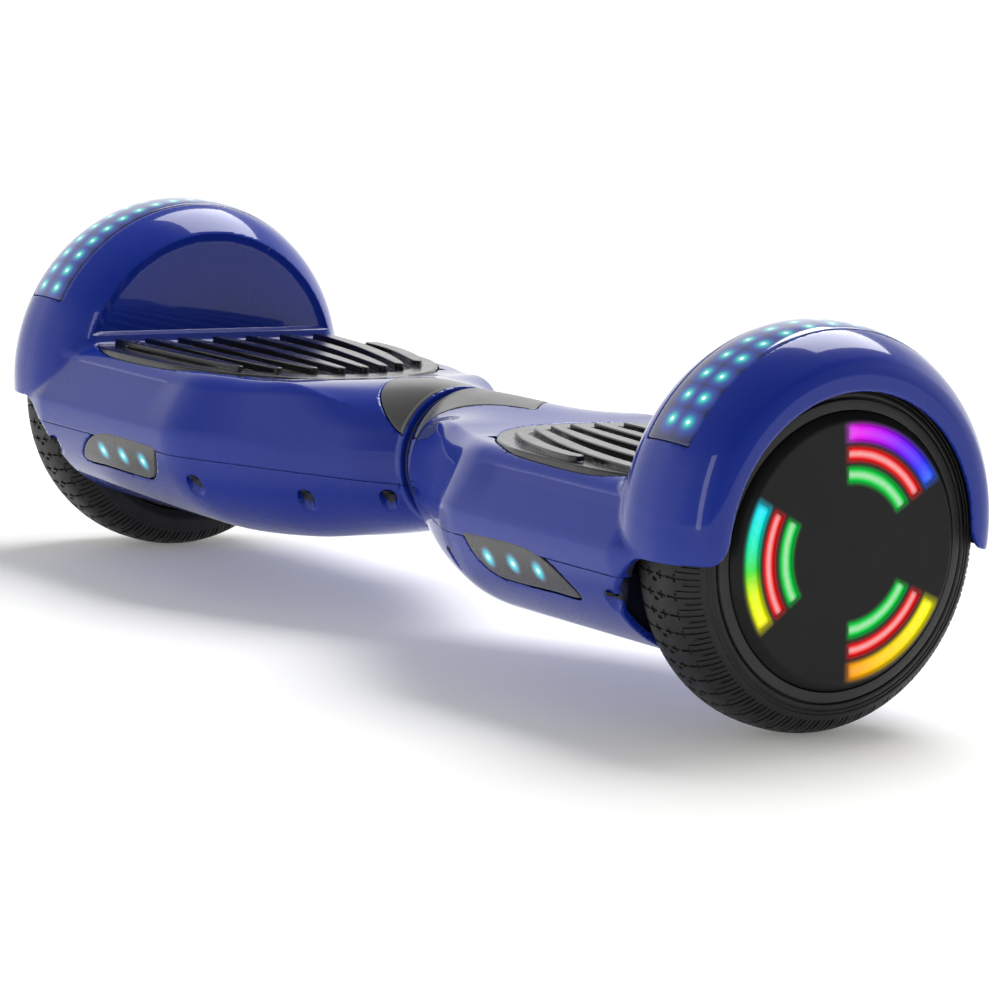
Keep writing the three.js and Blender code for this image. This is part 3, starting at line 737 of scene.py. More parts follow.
def lamp_window(name, centres, z0):
    n = Nodes(name)
    n.set(Coat_Weight=0.5, Coat_Roughness=0.10, Specular_IOR_Level=0.3)
    x, y, z = n.axes()
    ax = n.math("MULTIPLY", n.math("ABSOLUTE", x), 1000.0)
    dz = n.math("SUBTRACT", n.math("MULTIPLY", z, 1000.0), z0)
    best = None
    for c in centres:
        dx = n.math("SUBTRACT", ax, c)
        d = n.math("SQRT", n.math("ADD", n.math("MULTIPLY", dz, dz), n.math("MULTIPLY", dx, dx)))
        best = d if best is None else n.math("MINIMUM", best, d)
    base = n.ramp(n.noise(50.0, 2.0), [(0.3, (0.058, 0.057, 0.058)), (0.7, (0.072, 0.071, 0.072))])
    em = lamp_falloff(n, best, False)
    n.bsdf.inputs["Emission Strength"].default_value = 0.9
    r_ = n.span(n.noise(120.0, 3.0), 0.3, 0.7, 0.22, 0.30)
    return n.out(Base_Color=base, Emission_Color=em, Roughness=r_, Normal=n.bump(n.noise(900.0), 0.03, 0.0003))


def led(name, edge, core, strength):
    n = Nodes(name)
    lw = n.new("ShaderNodeLayerWeight")
    lw.inputs["Blend"].default_value = 0.35
    g = n.noise(2500.0, 1.0)
    f = n.math("ADD", lw.outputs["Facing"], n.span(g, 0.3, 0.7, -0.04, 0.04))
    col = n.ramp(f, [(0.05, core), (0.55, edge)])
    n.bsdf.inputs["Emission Strength"].default_value = strength
    n.set(Roughness=0.2)
    return n.out(Base_Color=col, Emission_Color=col)


def foil():
    n = Nodes("battery_wrap_film")
    n.set(Coat_Weight=0.7, Coat_Roughness=0.08)
    col = n.ramp(n.noise(40.0, 3.0), [(0.3, (0.008, 0.060, 0.155)), (0.7, (0.012, 0.085, 0.200))])
    w = n.noise(90.0, 5.0, 0.6, 1.2)
    return n.out(Base_Color=col, Roughness=n.span(w, 0.3, 0.7, 0.22, 0.40), Normal=n.bump(w, 0.35, 0.0008))


M = {}
M["body_blue"] = paint_blue()
# painted shade: the same plastic as the shell, coloured dark navy for the shaded inside, recess and wheel-well walls
M["body_inner"] = plastic("body_blue_inside", (0.0065, 0.0090, 0.026), (0.0090, 0.0120, 0.034), 0.42, 0.55, 900.0, 0.10)
M["cap_grey"] = plastic("cap_grey_satin", (0.072, 0.072, 0.073), (0.092, 0.091, 0.092), 0.27, 0.35, 2200.0, 0.10, coat=0.35, coat_r=0.22)
ROWS = {"right": ((259.6, 270.0), 8.1, 15), "left": ((255.6, 268.2), 6.6, 19)}
M["lamp_blue"] = glow_rows("lamp_strip_tinted", *ROWS["right"])
M["lamp_blue_left"] = glow_rows("lamp_strip_tinted_left", *ROWS["left"])
M["lamp_smoke"] = lamp_window("lamp_window_smoke", (148.0, 167.0, 186.0), 62.0)
M["circuit_board"] = board()
M["cast_aluminium"] = metal("cast_aluminium_grain", (0.48, 0.49, 0.50), (0.60, 0.61, 0.62), 0.42, 0.58, (1, 1, 1), 0.45, 700.0)
M["steel"] = metal("steel_turned", (0.50, 0.50, 0.51), (0.62, 0.62, 0.63), 0.24, 0.36, (30, 1, 1), 0.10, 160.0)
M["copper_winding"] = copper()
M["tyre_rubber"] = rubber()
M["rim_black"] = plastic("rim_black_powder", (0.0380, 0.0380, 0.0380), (0.0500, 0.0500, 0.0495), 0.45, 0.55, 2600.0, 0.35, spec=0.3)
M["disc_black"] = plastic("disc_black_satin", (0.0200, 0.0205, 0.0205), (0.0255, 0.0262, 0.0258), 0.34, 0.42, 2400.0, 0.08, coat=0.35, coat_r=0.22)
M["light_guide"] = plastic("light_guide_milk", (0.70, 0.72, 0.74), (0.78, 0.80, 0.82), 0.30, 0.38, 900.0, 0.05)
M["pad_black"] = plastic("pad_black_satin", (0.0070, 0.0072, 0.0078), (0.0110, 0.0112, 0.0120), 0.20, 0.30, 2400.0, 0.06, coat=0.45, coat_r=0.14)
M["battery_wrap"] = foil()
M["seal_navy"] = plastic("seal_navy_rubber", (0.006, 0.009, 0.050), (0.009, 0.013, 0.068), 0.40, 0.50, 1500.0, 0.10)
M["bush_bronze"] = metal("bush_bronze_sintered", (0.50, 0.32, 0.14), (0.60, 0.40, 0.19), 0.32, 0.44, (1, 1, 1), 0.3, 1500.0)
M["lamp_rim"] = plastic("lamp_rim_black", (0.004, 0.004, 0.005), (0.007, 0.007, 0.008), 0.25, 0.35, 1500.0, 0.05)

for nm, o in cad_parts.items():
    for i, m in enumerate(o.data.materials):
        base = m.name.split(".")[0] if m else ""
        if base in M:
            o.data.materials[i] = M[base]


# ------------------------------------------------------------------ the two halves
def run(name, f, lo, hi, h, mat, suffix, replaces, sides=("right", "left"), coarse=4, inner=None):
    t = time.time()
    V, F, N = contour(f, lo, hi, h, coarse)
    if inner is not None:
        C = V[F].mean(1)
        ins = inner(C[:, 0], C[:, 1], C[:, 2])
    for side in sides:
        if side == "left":
            V2, N2, F2 = V * np.array([-1, 1, 1]), N * np.array([-1, 1, 1]), F[:, ::-1]
        else:
            V2, N2, F2 = V, N, F
        o = mesh_object(f"{side}_{name}", V2, F2, N2.copy(), M[mat][side] if isinstance(mat, str) else mat)
        if inner is not None:
            # faces picked by the inner mask take body_inner, a painted shade
            o.data.materials.append(M["body_inner"])
            o.data.polygons.foreach_set("material_index", ins.astype(np.int32))
        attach(o, f"{side}_{suffix}")
        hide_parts(f"{side}_{replaces}")
    print(f"[time] {name} {len(F)} faces {time.time() - t:.1f} s, total {time.time() - T0:.1f} s")


# faces deep inside each cover; they take body_inner, the painted shade of the inside and wheel-recess walls
upper_painted_shade_faces = lambda x, y, z: (hull_field(x, y, z) < -2.4) & (z < 175) & ((x > 234) | (z < 99))
lower_painted_shade_faces = lambda x, y, z: (body_field(x, y, z) < -3.0) & ((x > 233.0) | (body_field(x, y, z) < -4.0) | (z > 40)) & (np.abs(x - 240) > -1)
run("upper_cover", upper_field, (1, -94, 60), (296, 94, 181), 1.34, M["body_blue"], "half", "upper_shell", inner=upper_painted_shade_faces)
run("lower_cover", lower_field, (1, -94, 27), (252, 94, 72), 1.25, M["body_blue"], "half", "lower_shell", ("left",), inner=lower_painted_shade_faces)
run("lower_cover", lower_right_field, (1, -94, 27), (252, 94, 72), 1.25, M["body_blue"], "half", "lower_shell", ("right",), inner=lower_painted_shade_faces)
run("saddle_cap", cap_field, (2, -36, 84), (60, 36, 119), 0.6, M["cap_grey"], "half", "neck_cap")
run("headlight_window", lamp_field, (127, -96, 49), (215, -72, 75), 0.6, M["lamp_smoke"], "half", "headlight_lens")
M["strips"] = {"right": M["lamp_blue"], "left": M["lamp_blue_left"]}
run("crown_lamp_strip", bar_field, (245, -82, 126), (279, 82, 181), 0.75, "strips", "half", "light_bar_lens")


t = time.time()
V, F, N = contour(pad_field, (80, -79, 102), (229, 79, 114), 0.8)
for side in ("right", "left"):
    s_ = np.array([1, 1, 1]) if side == "right" else np.array([-1, -1, 1])
    o = mesh_object(f"{side}_ribbed_pad", V * s_, F, (N * s_).copy(), M["pad_black"])
    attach(o, f"{side}_pad")
    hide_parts(f"{side}_foot_pad")
print(f"[time] pads {len(F)} faces {time.time() - t:.1f} s")


# ------------------------------------------------------------------ turned parts
def lathe(profile, seg, axis="x", centre=(0, 0, 0), a0=0.0, rad=None):
    """closed profile of (along, radius); quads; rad(k, theta array) can move the radius"""
    P = np.array(profile, float)
    th = a0 + np.linspace(0, 2 * np.pi, seg, endpoint=False)
    R = np.repeat(P[:, 1][:, None], seg, 1)
    A = np.repeat(P[:, 0][:, None], seg, 1)
    if rad is not None:
        R = R - rad(th)
    c, s = np.cos(th)[None], np.sin(th)[None]
    if axis == "x":
        V = np.stack([A, R * c, R * s], 2)
    elif axis == "y":
        V = np.stack([R * s, A, R * c], 2)
    else:
        V = np.stack([R * c, R * s, A], 2)
    V = V + np.array(centre)
    n, k = len(P), seg
    i, j = np.meshgrid(np.arange(n), np.arange(k), indexing="ij")
    a = (i * k + j).ravel(); b = (((i + 1) % n) * k + j).ravel()
    c2 = (((i + 1) % n) * k + (j + 1) % k).ravel(); d = (i * k + (j + 1) % k).ravel()
    return V.reshape(-1, 3), np.stack([a, d, c2, b], 1)


def tidy(o, angle=35.0, inward=False):
    bm = bmesh.new(); bm.from_mesh(o.data)
    bmesh.ops.remove_doubles(bm, verts=bm.verts, dist=1e-6)
    bmesh.ops.dissolve_degenerate(bm, edges=bm.edges, dist=1e-6)
    bmesh.ops.recalc_face_normals(bm, faces=bm.faces)
    for e in bm.edges:
        e.smooth = len(e.link_faces) == 2 and e.calc_face_angle(0) < math.radians(angle)
    for f in bm.faces:
        f.smooth = True
    bm.to_mesh(o.data); bm.free()
    o.data.update()
    return o


def rounded(pts, r=0.5, n=3):
    """profile with each corner rounded by a small arc"""
    out = []
    P = [np.array(p, float) for p in pts]
    for i, p in enumerate(P):
        a, b = P[i - 1] - p, P[(i + 1) % len(P)] - p
        la, lb = np.linalg.norm(a), np.linalg.norm(b)
        q = min(r, la * 0.45, lb * 0.45)
        s0, s1 = p + a / la * q, p + b / lb * q
        for k in range(n + 1):
            t = k / n
            out.append(tuple((1 - t) ** 2 * s0 + 2 * t * (1 - t) * p + t * t * s1))
    return out


def put(name, V, F, mat, body, slot, replaces=None, angle=35.0, left=False):
    V = np.asarray(V, float)
    if left:
        V = V * np.array([-1, 1, 1])
    o = tidy(mesh_object(name, V, F, None, mat), angle)
    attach(o, body)
    if replaces:
        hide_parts(replaces)
    return o


def join(parts):
    Vs, Fs, n = [], [], 0
    for V, F in parts:
        Vs.append(V); Fs.append(F + n); n += len(V)
    return np.concatenate(Vs), np.concatenate(Fs)


SEGS = 240
# tyre: crown with cut tread, two moulded ridges on each shoulder. Grid lines come in pairs along each cut's edge.
PITCHES = 60


def doubled(edges, lo, hi, eps, fill):
    out = {lo, hi}
    for e in edges:
        out |= {round(e - eps, 5), round(e + eps, 5)}
    out = sorted(out)
    res = []
    for a, b in zip(out, out[1:]):
        res.append(a)
        k = int((b - a) / fill)
        res += [a + (b - a) * (i + 1) / (k + 1) for i in range(k)]
    return res + [out[-1]]


ue = [0.06, 0.155, 0.20, 0.29, 0.33, 0.52, 0.56, 0.70, 0.955]
up_ = doubled(ue, 0.0, 1.0, 0.006, 0.075)
U = np.array([-u for u in reversed(up_)][:-1] + up_)
phase_edges = [-0.37, -0.31, -0.21, -0.06, 0.06, 0.21, 0.40]
PH = np.array(doubled(phase_edges, -0.5, 0.5, 0.010, 0.12)[:-1])
crown = [(262.45 + 21.55 * u, 82.14 - 9.4 * abs(u) ** 3) for u in U]
side_out = [(284.45, 71.9), (284.5, 71.4), (284.15, 71.1), (284.25, 70.6), (284.8, 70.2), (284.95, 69.6), (284.6, 69.3), (284.7, 68.9), (285.15, 68.5),
            (285.35, 67.6), (285.3, 66.8), (284.9, 66.45), (283.8, 66.3), (283.7, 66.0), (283.7, 62.9)]
side_in = [(243.1, 62.9), (242.4, 64.2), (240.9, 66.2), (240.3, 68.0), (240.35, 69.6), (240.6, 70.2), (240.4, 70.6), (240.45, 71.4), (240.65, 72.0)]


def tyre_mesh():
    prof = np.array(side_in + crown + side_out)
    u = np.array([9.0] * len(side_in) + list(U) + [9.0] * len(side_out))
    uu = np.array([-1.0] * len(side_in) + list(U) + [1.0] * len(side_out))
    n, ph = len(prof), np.concatenate([k + PH for k in range(PITCHES)])
    p = (ph - np.round(ph))[None, :]
    p = np.where(p >= 0.5 - 1e-9, p - 1, p)
    au = np.abs(u)[:, None]
    inb = lambda a, lo, hi: (a > lo) & (a < hi)
    cut = inb(p, -0.06, 0.06) & inb(au, 0.33, 0.955)
    cut |= inb(p, -0.37, -0.31) & inb(au, 0.56, 0.955)
    cut |= inb(p, 0.21, 0.40) & inb(au, 0.70, 0.955)
    cut |= inb(p, -0.21, 0.21) & inb(au, 0.52, 0.56)
    cut |= inb(p, -0.21, 0.21) & inb(au, 0.155, 0.20)
    cut |= inb(p, -0.06, 0.06) & inb(au, 0.06, 0.29)
    cut |= inb(p, 0.21, 0.40) & (au < 0.06)
    d = 1.05 * cut
    th = (ph[None, :] + 0.16 * uu[:, None]) * 2 * np.pi / PITCHES
    R = prof[:, 1][:, None] - d
    X = np.repeat(prof[:, 0][:, None], R.shape[1], 1)
    V = np.stack([X, R * np.cos(th), AXLE_Z + R * np.sin(th)], 2).reshape(-1, 3)
    k = R.shape[1]
    i, j = np.meshgrid(np.arange(n), np.arange(k), indexing="ij")
    a, b = (i * k + j).ravel(), (((i + 1) % n) * k + j).ravel()
    c, e = (((i + 1) % n) * k + (j + 1) % k).ravel(), (i * k + (j + 1) % k).ravel()
    return V, np.stack([a, e, c, b], 1)


VT, FT = tyre_mesh()
# aluminium rim with its powder-coated ring
rim_prof = rounded([(245, 62), (283.95, 62), (283.95, 65.7), (285.9, 65.5), (286.5, 61.0), (281.4, 61.0), (279.6, 58), (279.6, 12), (276.9, 12), (276.9, 16), (271.2, 16), (271.2, 21), (273, 56), (245, 56)], 0.45, 3)
VR, FR = lathe(rim_prof, SEGS, "x", (0, 0, AXLE_Z))


ARC_TURN = 4.3
ARCS = ((30.5, 37.0), (39.9, 45.6), (48.3, 55.4))


def disc_mesh():
    """cover disc with nine arc-shaped windows, on a polar grid"""
    rings = [0.01, 8, 16, 24, 30.5, 37, 39.9, 45.6, 48.3, 55.4, 56.5]
    na = 240
    th = np.radians(np.arange(na) * 1.5 + ARC_TURN)
    win = {4, 6, 8}
    open_ = lambda k, j: k in win and abs(((j * 1.5 + 0.75) % 120) - 60) < 30
    V, F = [], []

    def ring_verts(x, r):
        b = len(V)
        for t in th:
            V.append((x, r * math.cos(t), AXLE_Z + r * math.sin(t)))
        return b
    front = [ring_verts(290.6, r) for r in rings]
    edge = [(290.45, 57.0), (290.0, 57.45), (286.6, 60.2), (286.15, 60.45), (285.7, 60.5), (281.9, 60.5), (281.9, 57.1), (283.4, 57.1), (283.4, 56.6)]
    rim_ = [ring_verts(x, r) for x, r in edge]
    backs = [ring_verts(283.4, r) for r in rings[:-1]]
    chain = front + rim_ + backs[::-1]
    for k in range(len(chain) - 1):
        for j in range(na):
            jj = (j + 1) % na
            kk = k if k < len(front) - 1 else None
            if kk is not None and open_(kk, j):
                continue
            back_k = len(chain) - 2 - k
            if k >= len(front) + len(rim_) and back_k >= 0 and open_(back_k, j):
                continue
            F.append((chain[k] + j, chain[k] + jj, chain[k + 1] + jj, chain[k + 1] + j))
    # walls of the windows
    for k in win:
        for j in range(na):
            if not open_(k, j):
                continue
            jj = (j + 1) % na
            a, b, c, d = front[k] + j, front[k] + jj, backs[k] + jj, backs[k] + j
            F.append((a, b, c, d))
            a, b, c, d = front[k + 1] + j, front[k + 1] + jj, backs[k + 1] + jj if k + 1 < len(backs) else None, backs[k + 1] + j if k + 1 < len(backs) else None
            F.append((a, b, c, d))
            if not open_(k, (j - 1) % na):
                F.append((front[k] + j, front[k + 1] + j, backs[k + 1] + j, backs[k] + j))
            if not open_(k, jj):
                F.append((front[k] + jj, front[k + 1] + jj, backs[k + 1] + jj, backs[k] + jj))
    return np.array(V), np.array(F)


def arc_bars():
    """light guide: nine curved bars on a ring, each with a softly rounded top"""
    parts = [lathe(rounded([(281.9, 24), (281.9, 56.4), (282.9, 56.4), (282.9, 24)], 0.2, 1), 120, "x", (0, 0, AXLE_Z))]
    for r0, r1 in ARCS:
        for mid in (60, 180, 300):
            a = np.radians(np.linspace(mid - 29.7, mid + 29.7, 41) + ARC_TURN)
            g = 0.12
            sec = [(282.6, r0 + g), (289.7, r0 + g), (290.05, r0 + g + 0.5), (290.15, (r0 + r1) / 2), (290.05, r1 - g - 0.5), (289.7, r1 - g), (282.6, r1 - g)]
            V = np.array([[(x, r * math.cos(t), AXLE_Z + r * math.sin(t)) for x, r in sec] for t in a]).reshape(-1, 3)
            n = len(sec)
            F = []
            for i in range(len(a) - 1):
                for k in range(n):
                    F.append((i * n + k, i * n + (k + 1) % n, (i + 1) * n + (k + 1) % n, (i + 1) * n + k))
            e = (len(a) - 1) * n
            for k in range(0, n - 2, 2):
                for base in (0, e):
                    q = [base, base + k + 1, base + k + 2, base + min(k + 3, n - 1)]
                    F.append(tuple(q))
            parts.append((V, np.array(F)))
    return join(parts)


def arc_colour(n):
    """colour of the lit arcs by radius and angle; returns (colour, radius, share of the window angle)"""
    x, y, z = n.axes()
    dz = n.math("SUBTRACT", z, AXLE_Z / 1000)
    ang = n.math("MULTIPLY", n.math("ARCTAN2", dz, y), 180 / math.pi)
    ang = n.math("MODULO", n.math("ADD", ang, 720.0 - ARC_TURN), 360.0)
    rr = n.math("MULTIPLY", n.math("SQRT", n.math("ADD", n.math("MULTIPLY", y, y), n.math("MULTIPLY", dz, dz))), 1000.0)
    t = n.math("DIVIDE", ang, 360.0)
    D = 1 / 360
    outer = n.ramp(t, [(28 * D, (0.03, 0.16, 1.0)), (40 * D, (0.03, 0.03, 1.0)), (56 * D, (0.20, 0.0, 0.95)), (84 * D, (0.80, 0.0, 0.85)),
                       (150 * D, (0.0, 0.80, 1.0)), (170 * D, (0.0, 0.85, 0.45)), (182 * D, (0.05, 0.75, 0.03)), (193 * D, (0.75, 0.95, 0.0)), (212 * D, (1.0, 0.95, 0.0)),
                       (270 * D, (1.0, 0.32, 0.0)), (290 * D, (1.0, 0.62, 0.0)), (315 * D, (1.0, 0.86, 0.0)), (330 * D, (0.95, 0.95, 0.0))])
    col = n.mix(n.span(rr, 46.9, 47.1), (0.85, 0.010, 0.010), outer)
    col = n.mix(n.span(rr, 38.4, 38.6), (0.0, 0.62, 0.06), col)
    a = n.math("ABSOLUTE", n.math("SUBTRACT", n.math("MODULO", ang, 120.0), 60.0))
    return col, rr, a


def arc_material():
    n = Nodes("light_arcs_lit")
    n.set(Roughness=0.5, Coat_Weight=0.0, Specular_IOR_Level=0.2)
    col, rr, a = arc_colour(n)
    e = None
    for r0, r1 in ARCS:
        q = n.math("DIVIDE", n.math("ABSOLUTE", n.math("SUBTRACT", rr, (r0 + r1) / 2)), (r1 - r0) / 2)
        e = q if e is None else n.math("MINIMUM", e, q)
    soft = n.math("MULTIPLY", n.span(e, 1.0, 0.55, 0.45, 1.0), n.span(a, 30.0, 27.5, 0.45, 1.0))
    grain = n.span(n.noise(420.0, 2.0), 0.3, 0.7, 0.9, 1.0)
    core = n.math("MULTIPLY", n.span(e, 0.62, 0.10, 0.0, 0.34), n.span(rr, 47.1, 46.9, 0.12, 1.0))
    c2 = n.mix(core, col, (1.0, 1.0, 1.0))
    c3 = n.mix(n.math("MULTIPLY", soft, grain), (0.0, 0.0, 0.0), c2)
    n.bsdf.inputs["Emission Strength"].default_value = 1.05
    return n.out(Base_Color=n.mix(0.9, c3, (0.0, 0.0, 0.0)), Emission_Color=c3)


def disc_material_painted_glow():
    n = Nodes("cover_disc_satin_black")
    n.set(Coat_Weight=0.0, Coat_Roughness=0.25, Specular_IOR_Level=0.16)
    col, rr, a = arc_colour(n)
    # painted glow: emission on the black disc near each arc window, the light of the lit arcs painted onto the disc
    win = n.span(a, 33.0, 28.5)
    total = None
    for r0, r1 in ARCS:
        q = n.math("MAXIMUM", n.math("SUBTRACT", n.math("ABSOLUTE", n.math("SUBTRACT", rr, (r0 + r1) / 2)), (r1 - r0) / 2), 0.0)
        g = n.span(q, 2.1, 0.0, 0.0, 1.0)
        g = n.math("MULTIPLY", g, g)
        total = g if total is None else n.math("MAXIMUM", total, g)
    h = n.math("MULTIPLY", n.math("MULTIPLY", total, win), 0.42)
    n.bsdf.inputs["Emission Strength"].default_value = 1.0
    em = n.mix(h, (0.0, 0.0, 0.0), col)
    base = n.ramp(n.noise(26.0, 3.0), [(0.3, (0.0125, 0.0130, 0.0128)), (0.7, (0.0155, 0.0160, 0.0157))])
    r = n.span(n.noise(70.0, 4.0), 0.3, 0.7, 0.36, 0.44)
    return n.out(Base_Color=base, Emission_Color=em, Roughness=r, Normal=n.bump(n.noise(2400.0, 2.0), 0.08, 0.0003))


M["arcs"] = arc_material()
M["disc"] = disc_material_painted_glow()
VD, FD = disc_mesh()
VA, FA = arc_bars()
cover_prof = rounded([(238.0, 16), (238.0, 52), (240.6, 58), (241.2, 60.9), (244.8, 60.9), (244.8, 55.6), (241.6, 52), (241.2, 21), (243.6, 21), (243.6, 16)], 0.4, 2)
ring_prof = [(-2.8, 24.2)] + [(x, 31.4 - 0.9 * (abs(x) < 0.75) - 0.5 * (abs(x) > 2.4)) for x in (-2.8, -2.3, -0.9, -0.7, 0, 0.7, 0.9, 2.3, 2.8)] + [(2.8, 24.2)]
for side in ("right", "left"):
    lf = side == "left"
    put(f"{side}_tread_tyre", VT, FT, M["tyre_rubber"], f"{side}_wheel", "tyre_rubber", f"{side}_tyre", 50, lf)
    put(f"{side}_wheel_rim", VR, FR, M["rim_black"], f"{side}_wheel", "rim_black", f"{side}_rim", 35, lf)
    put(f"{side}_cover_disc", VD, FD, M["disc"], f"{side}_wheel", "disc_black", f"{side}_wheel_disc", 30, lf)
    put(f"{side}_lit_arcs", VA, FA, M["arcs"], f"{side}_wheel", "light_guide", f"{side}_light_guide", 30, lf)
VS, FS = lathe(rounded(ring_prof, 0.25, 2), 160, "x", (0, 0, NECK_Z))
put("neck_ring", VS, FS, M["seal_navy"], "left_half", "seal_navy", "neck_seal", 40)


# ------------------------------------------------------------------ lamps
def dome(c, nrm, r, h, seg=20, rings=5, depth=0.8):
    """small lens cap standing on a surface"""
    nrm = np.array(nrm, float); nrm /= np.linalg.norm(nrm)
    t1 = np.cross(nrm, (0, 0, 1.0) if abs(nrm[2]) < 0.9 else (1.0, 0, 0)); t1 /= np.linalg.norm(t1)
    t2 = np.cross(nrm, t1)
    V, F = [], []
    prof = [(r * math.sin(a), h * math.cos(a)) for a in np.linspace(0.12, math.pi / 2, rings)] + [(r, -depth)]
    for q, k in prof:
        for j in range(seg):
            a = 2 * math.pi * j / seg
            V.append(np.array(c) + nrm * k + (t1 * math.cos(a) + t2 * math.sin(a)) * q)
    n = len(prof)
    for i in range(n - 1):
        for j in range(seg):
            jj = (j + 1) % seg
            F.append((i * seg + j, i * seg + jj, (i + 1) * seg + jj, (i + 1) * seg + j))
    top = len(V); V.append(np.array(c) + nrm * h)
    bot = len(V); V.append(np.array(c) - nrm * depth)
    for j in range(0, seg, 2):
        F.append((top, j, (j + 1) % seg, (j + 2) % seg))
        e = (n - 1) * seg
        F.append((bot, e + (j + 2) % seg, e + (j + 1) % seg, e + j))
    return np.array(V), np.array(F)


def surface_point(f, p, d, reach=6.0):
    """where the ray from p along d leaves the field"""
    t = np.linspace(0, reach, 400)
    P = np.array(p)[None] + t[:, None] * np.array(d)[None]
    v = f(P[:, 0], P[:, 1], P[:, 2])
    k = np.argmax((v[:-1] > 0) & (v[1:] <= 0))
    q = P[k]
    e = 0.05
    g = np.array([float(f(*[np.array([q[i] + (e if i == a else 0)]) for i in range(3)])[0] - f(*[np.array([q[i] - (e if i == a else 0)]) for i in range(3)])[0]) for a in range(3)])
    return q, g / np.linalg.norm(g)


M["led_cyan"] = led("lamp_cyan_lit", (0.45, 1.0, 0.92), (0.85, 1.0, 0.98), 1.0)
lamp_domes = []
for cx in (148.0, 167.0, 186.0):
    p, g = surface_point(lamp_field, (cx, -97, 62.0), (0, 1.0, 0), 20)
    lamp_domes.append(dome(p - g * 0.05, g, 1.15, 0.16, 20, 4))
VL, FL = join(lamp_domes)
for side in ("right", "left"):
    lf = side == "left"
    rows, pitch, count = ROWS[side]
    bar_domes = []
    for row in rows:
        for k in range(count):
            a = math.radians(90 + pitch * (k - (count - 1) / 2))
            d = np.array([0, math.cos(a), math.sin(a)])
            p, g = surface_point(bar_field, np.array([row, 0, FEN_Z]) + d * 92, -d, 8)
            bar_domes.append(dome(p - g * 0.05, g, 0.85, 0.14, 14, 4))
    VB, FB = join(bar_domes)
    put(f"{side}_crown_lamps", VB, FB, M["led_cyan"], f"{side}_half", "lamp_blue", None, 60, lf)
    put(f"{side}_headlight_lamps", VL, FL, M["led_cyan"], f"{side}_half", "lamp_blue", None, 60, lf)


def y_turned(name, prof, cx, cz, mat, body, slot, rep_=None, seg=72, angle=35, r=0.35):
    V, F = lathe(rounded(prof, r, 3), seg, "y", (cx, 0, cz))
    return put(name, V, F, mat, body, slot, rep_, angle)


M["button_ring"] = metal("button_ring_steel", (0.45, 0.45, 0.46), (0.55, 0.55, 0.56), 0.22, 0.32, (1, 1, 1), 0.05, 900.0)
y_turned("power_button_cap", [(68.7, 0.01), (68.7, 7.8), (70.7, 7.8), (70.7, 5.0), (72.3, 5.0), (72.3, 6.7), (80.2, 6.7), (80.9, 6.0), (80.55, 4.6), (80.3, 2.6), (80.2, 0.01)],
         150, 57, M["disc_black"], "power_button", "disc_black", "power_button")
y_turned("power_button_mark", [(80.2, 3.0), (80.75, 3.15), (80.85, 3.6), (80.75, 4.05), (80.2, 4.2)], 150, 57, M["button_ring"], "power_button", "steel", None, 72, 60, 0.12)
y_turned("button_bezel", [(78.3, 7.3), (78.3, 9.9), (79.1, 10.1), (79.7, 9.3), (79.8, 8.2), (79.3, 7.3)], 150, 57, M["rim_black"], "right_half", "rim_black", None, 72, 50, 0.2)
y_turned("charge_socket", [(60.1, 0.01), (60.1, 9.9), (70.3, 9.9), (70.3, 7.9), (76.5, 7.9), (76.5, 5.3), (66.1, 5.3), (66.1, 0.01)],
         192, 57, M["disc_black"], "right_half", "disc_black", "charge_port")
pins = []
for k in range(3):
    a = math.radians(90 + 120 * k)
    V_, F_ = lathe(rounded([(66.0, 0.01), (66.0, 0.75), (73.6, 0.75), (74.2, 0.35), (74.2, 0.01)], 0.15, 2), 16, "y", (192 + 2.6 * math.cos(a), 0, 57 + 2.6 * math.sin(a)))
    pins.append((V_, F_))
put("charge_socket_pins", *join(pins), M["steel"], "right_half", "steel", None, 40)


def flap_field(x, y, z):
    disc = np.hypot(x - 192, z - 57.4) - 10.4
    tab = np.maximum(np.abs(x - 192) - 4.9, np.maximum(45.5 - z, z - 56))
    plan = smin(disc, tab, 2.0)
    f = cut_round(plan, np.abs(y - 78.8) - 1.15, 0.5)
    rib = np.abs(np.hypot(x - 192, z - 57.4) - 7.6) - 0.5
    f = smax(f, -np.maximum(rib, 79.55 - y), 0.2)
    grip = np.maximum(np.abs(z - 64.8) - 0.6, np.abs(x - 192) - 3.2)
    return smin(f, cut_round(grip, np.abs(y - 79.8) - 0.7, 0.3), 0.4)


V1, F1, N1 = contour(flap_field, (179, 76, 43), (205, 82, 70), 0.4)
o = mesh_object("charge_flap_cover", V1, F1, N1, M["tyre_rubber"])
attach(o, "charge_flap")
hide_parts("charge_flap")


# ------------------------------------------------------------------ screws
def screw_field(cx, cy, zt):
    def f(x, y, z):
        r = np.hypot(x - cx, y - cy)
        b = cut_round(np.maximum(r - 3.1, z - zt), (zt - 1.7) - z - 0.035 * (9.6 - r * r) * 0, 0.5)
        arm = lambda u, v: np.maximum(np.maximum(np.abs(u) - 1.75, np.abs(v) - 0.36), z - (zt - 0.75))
        return np.maximum(b, -np.minimum(arm(x - cx, y - cy), arm(y - cy, x - cx)))
    return f


t = time.time()
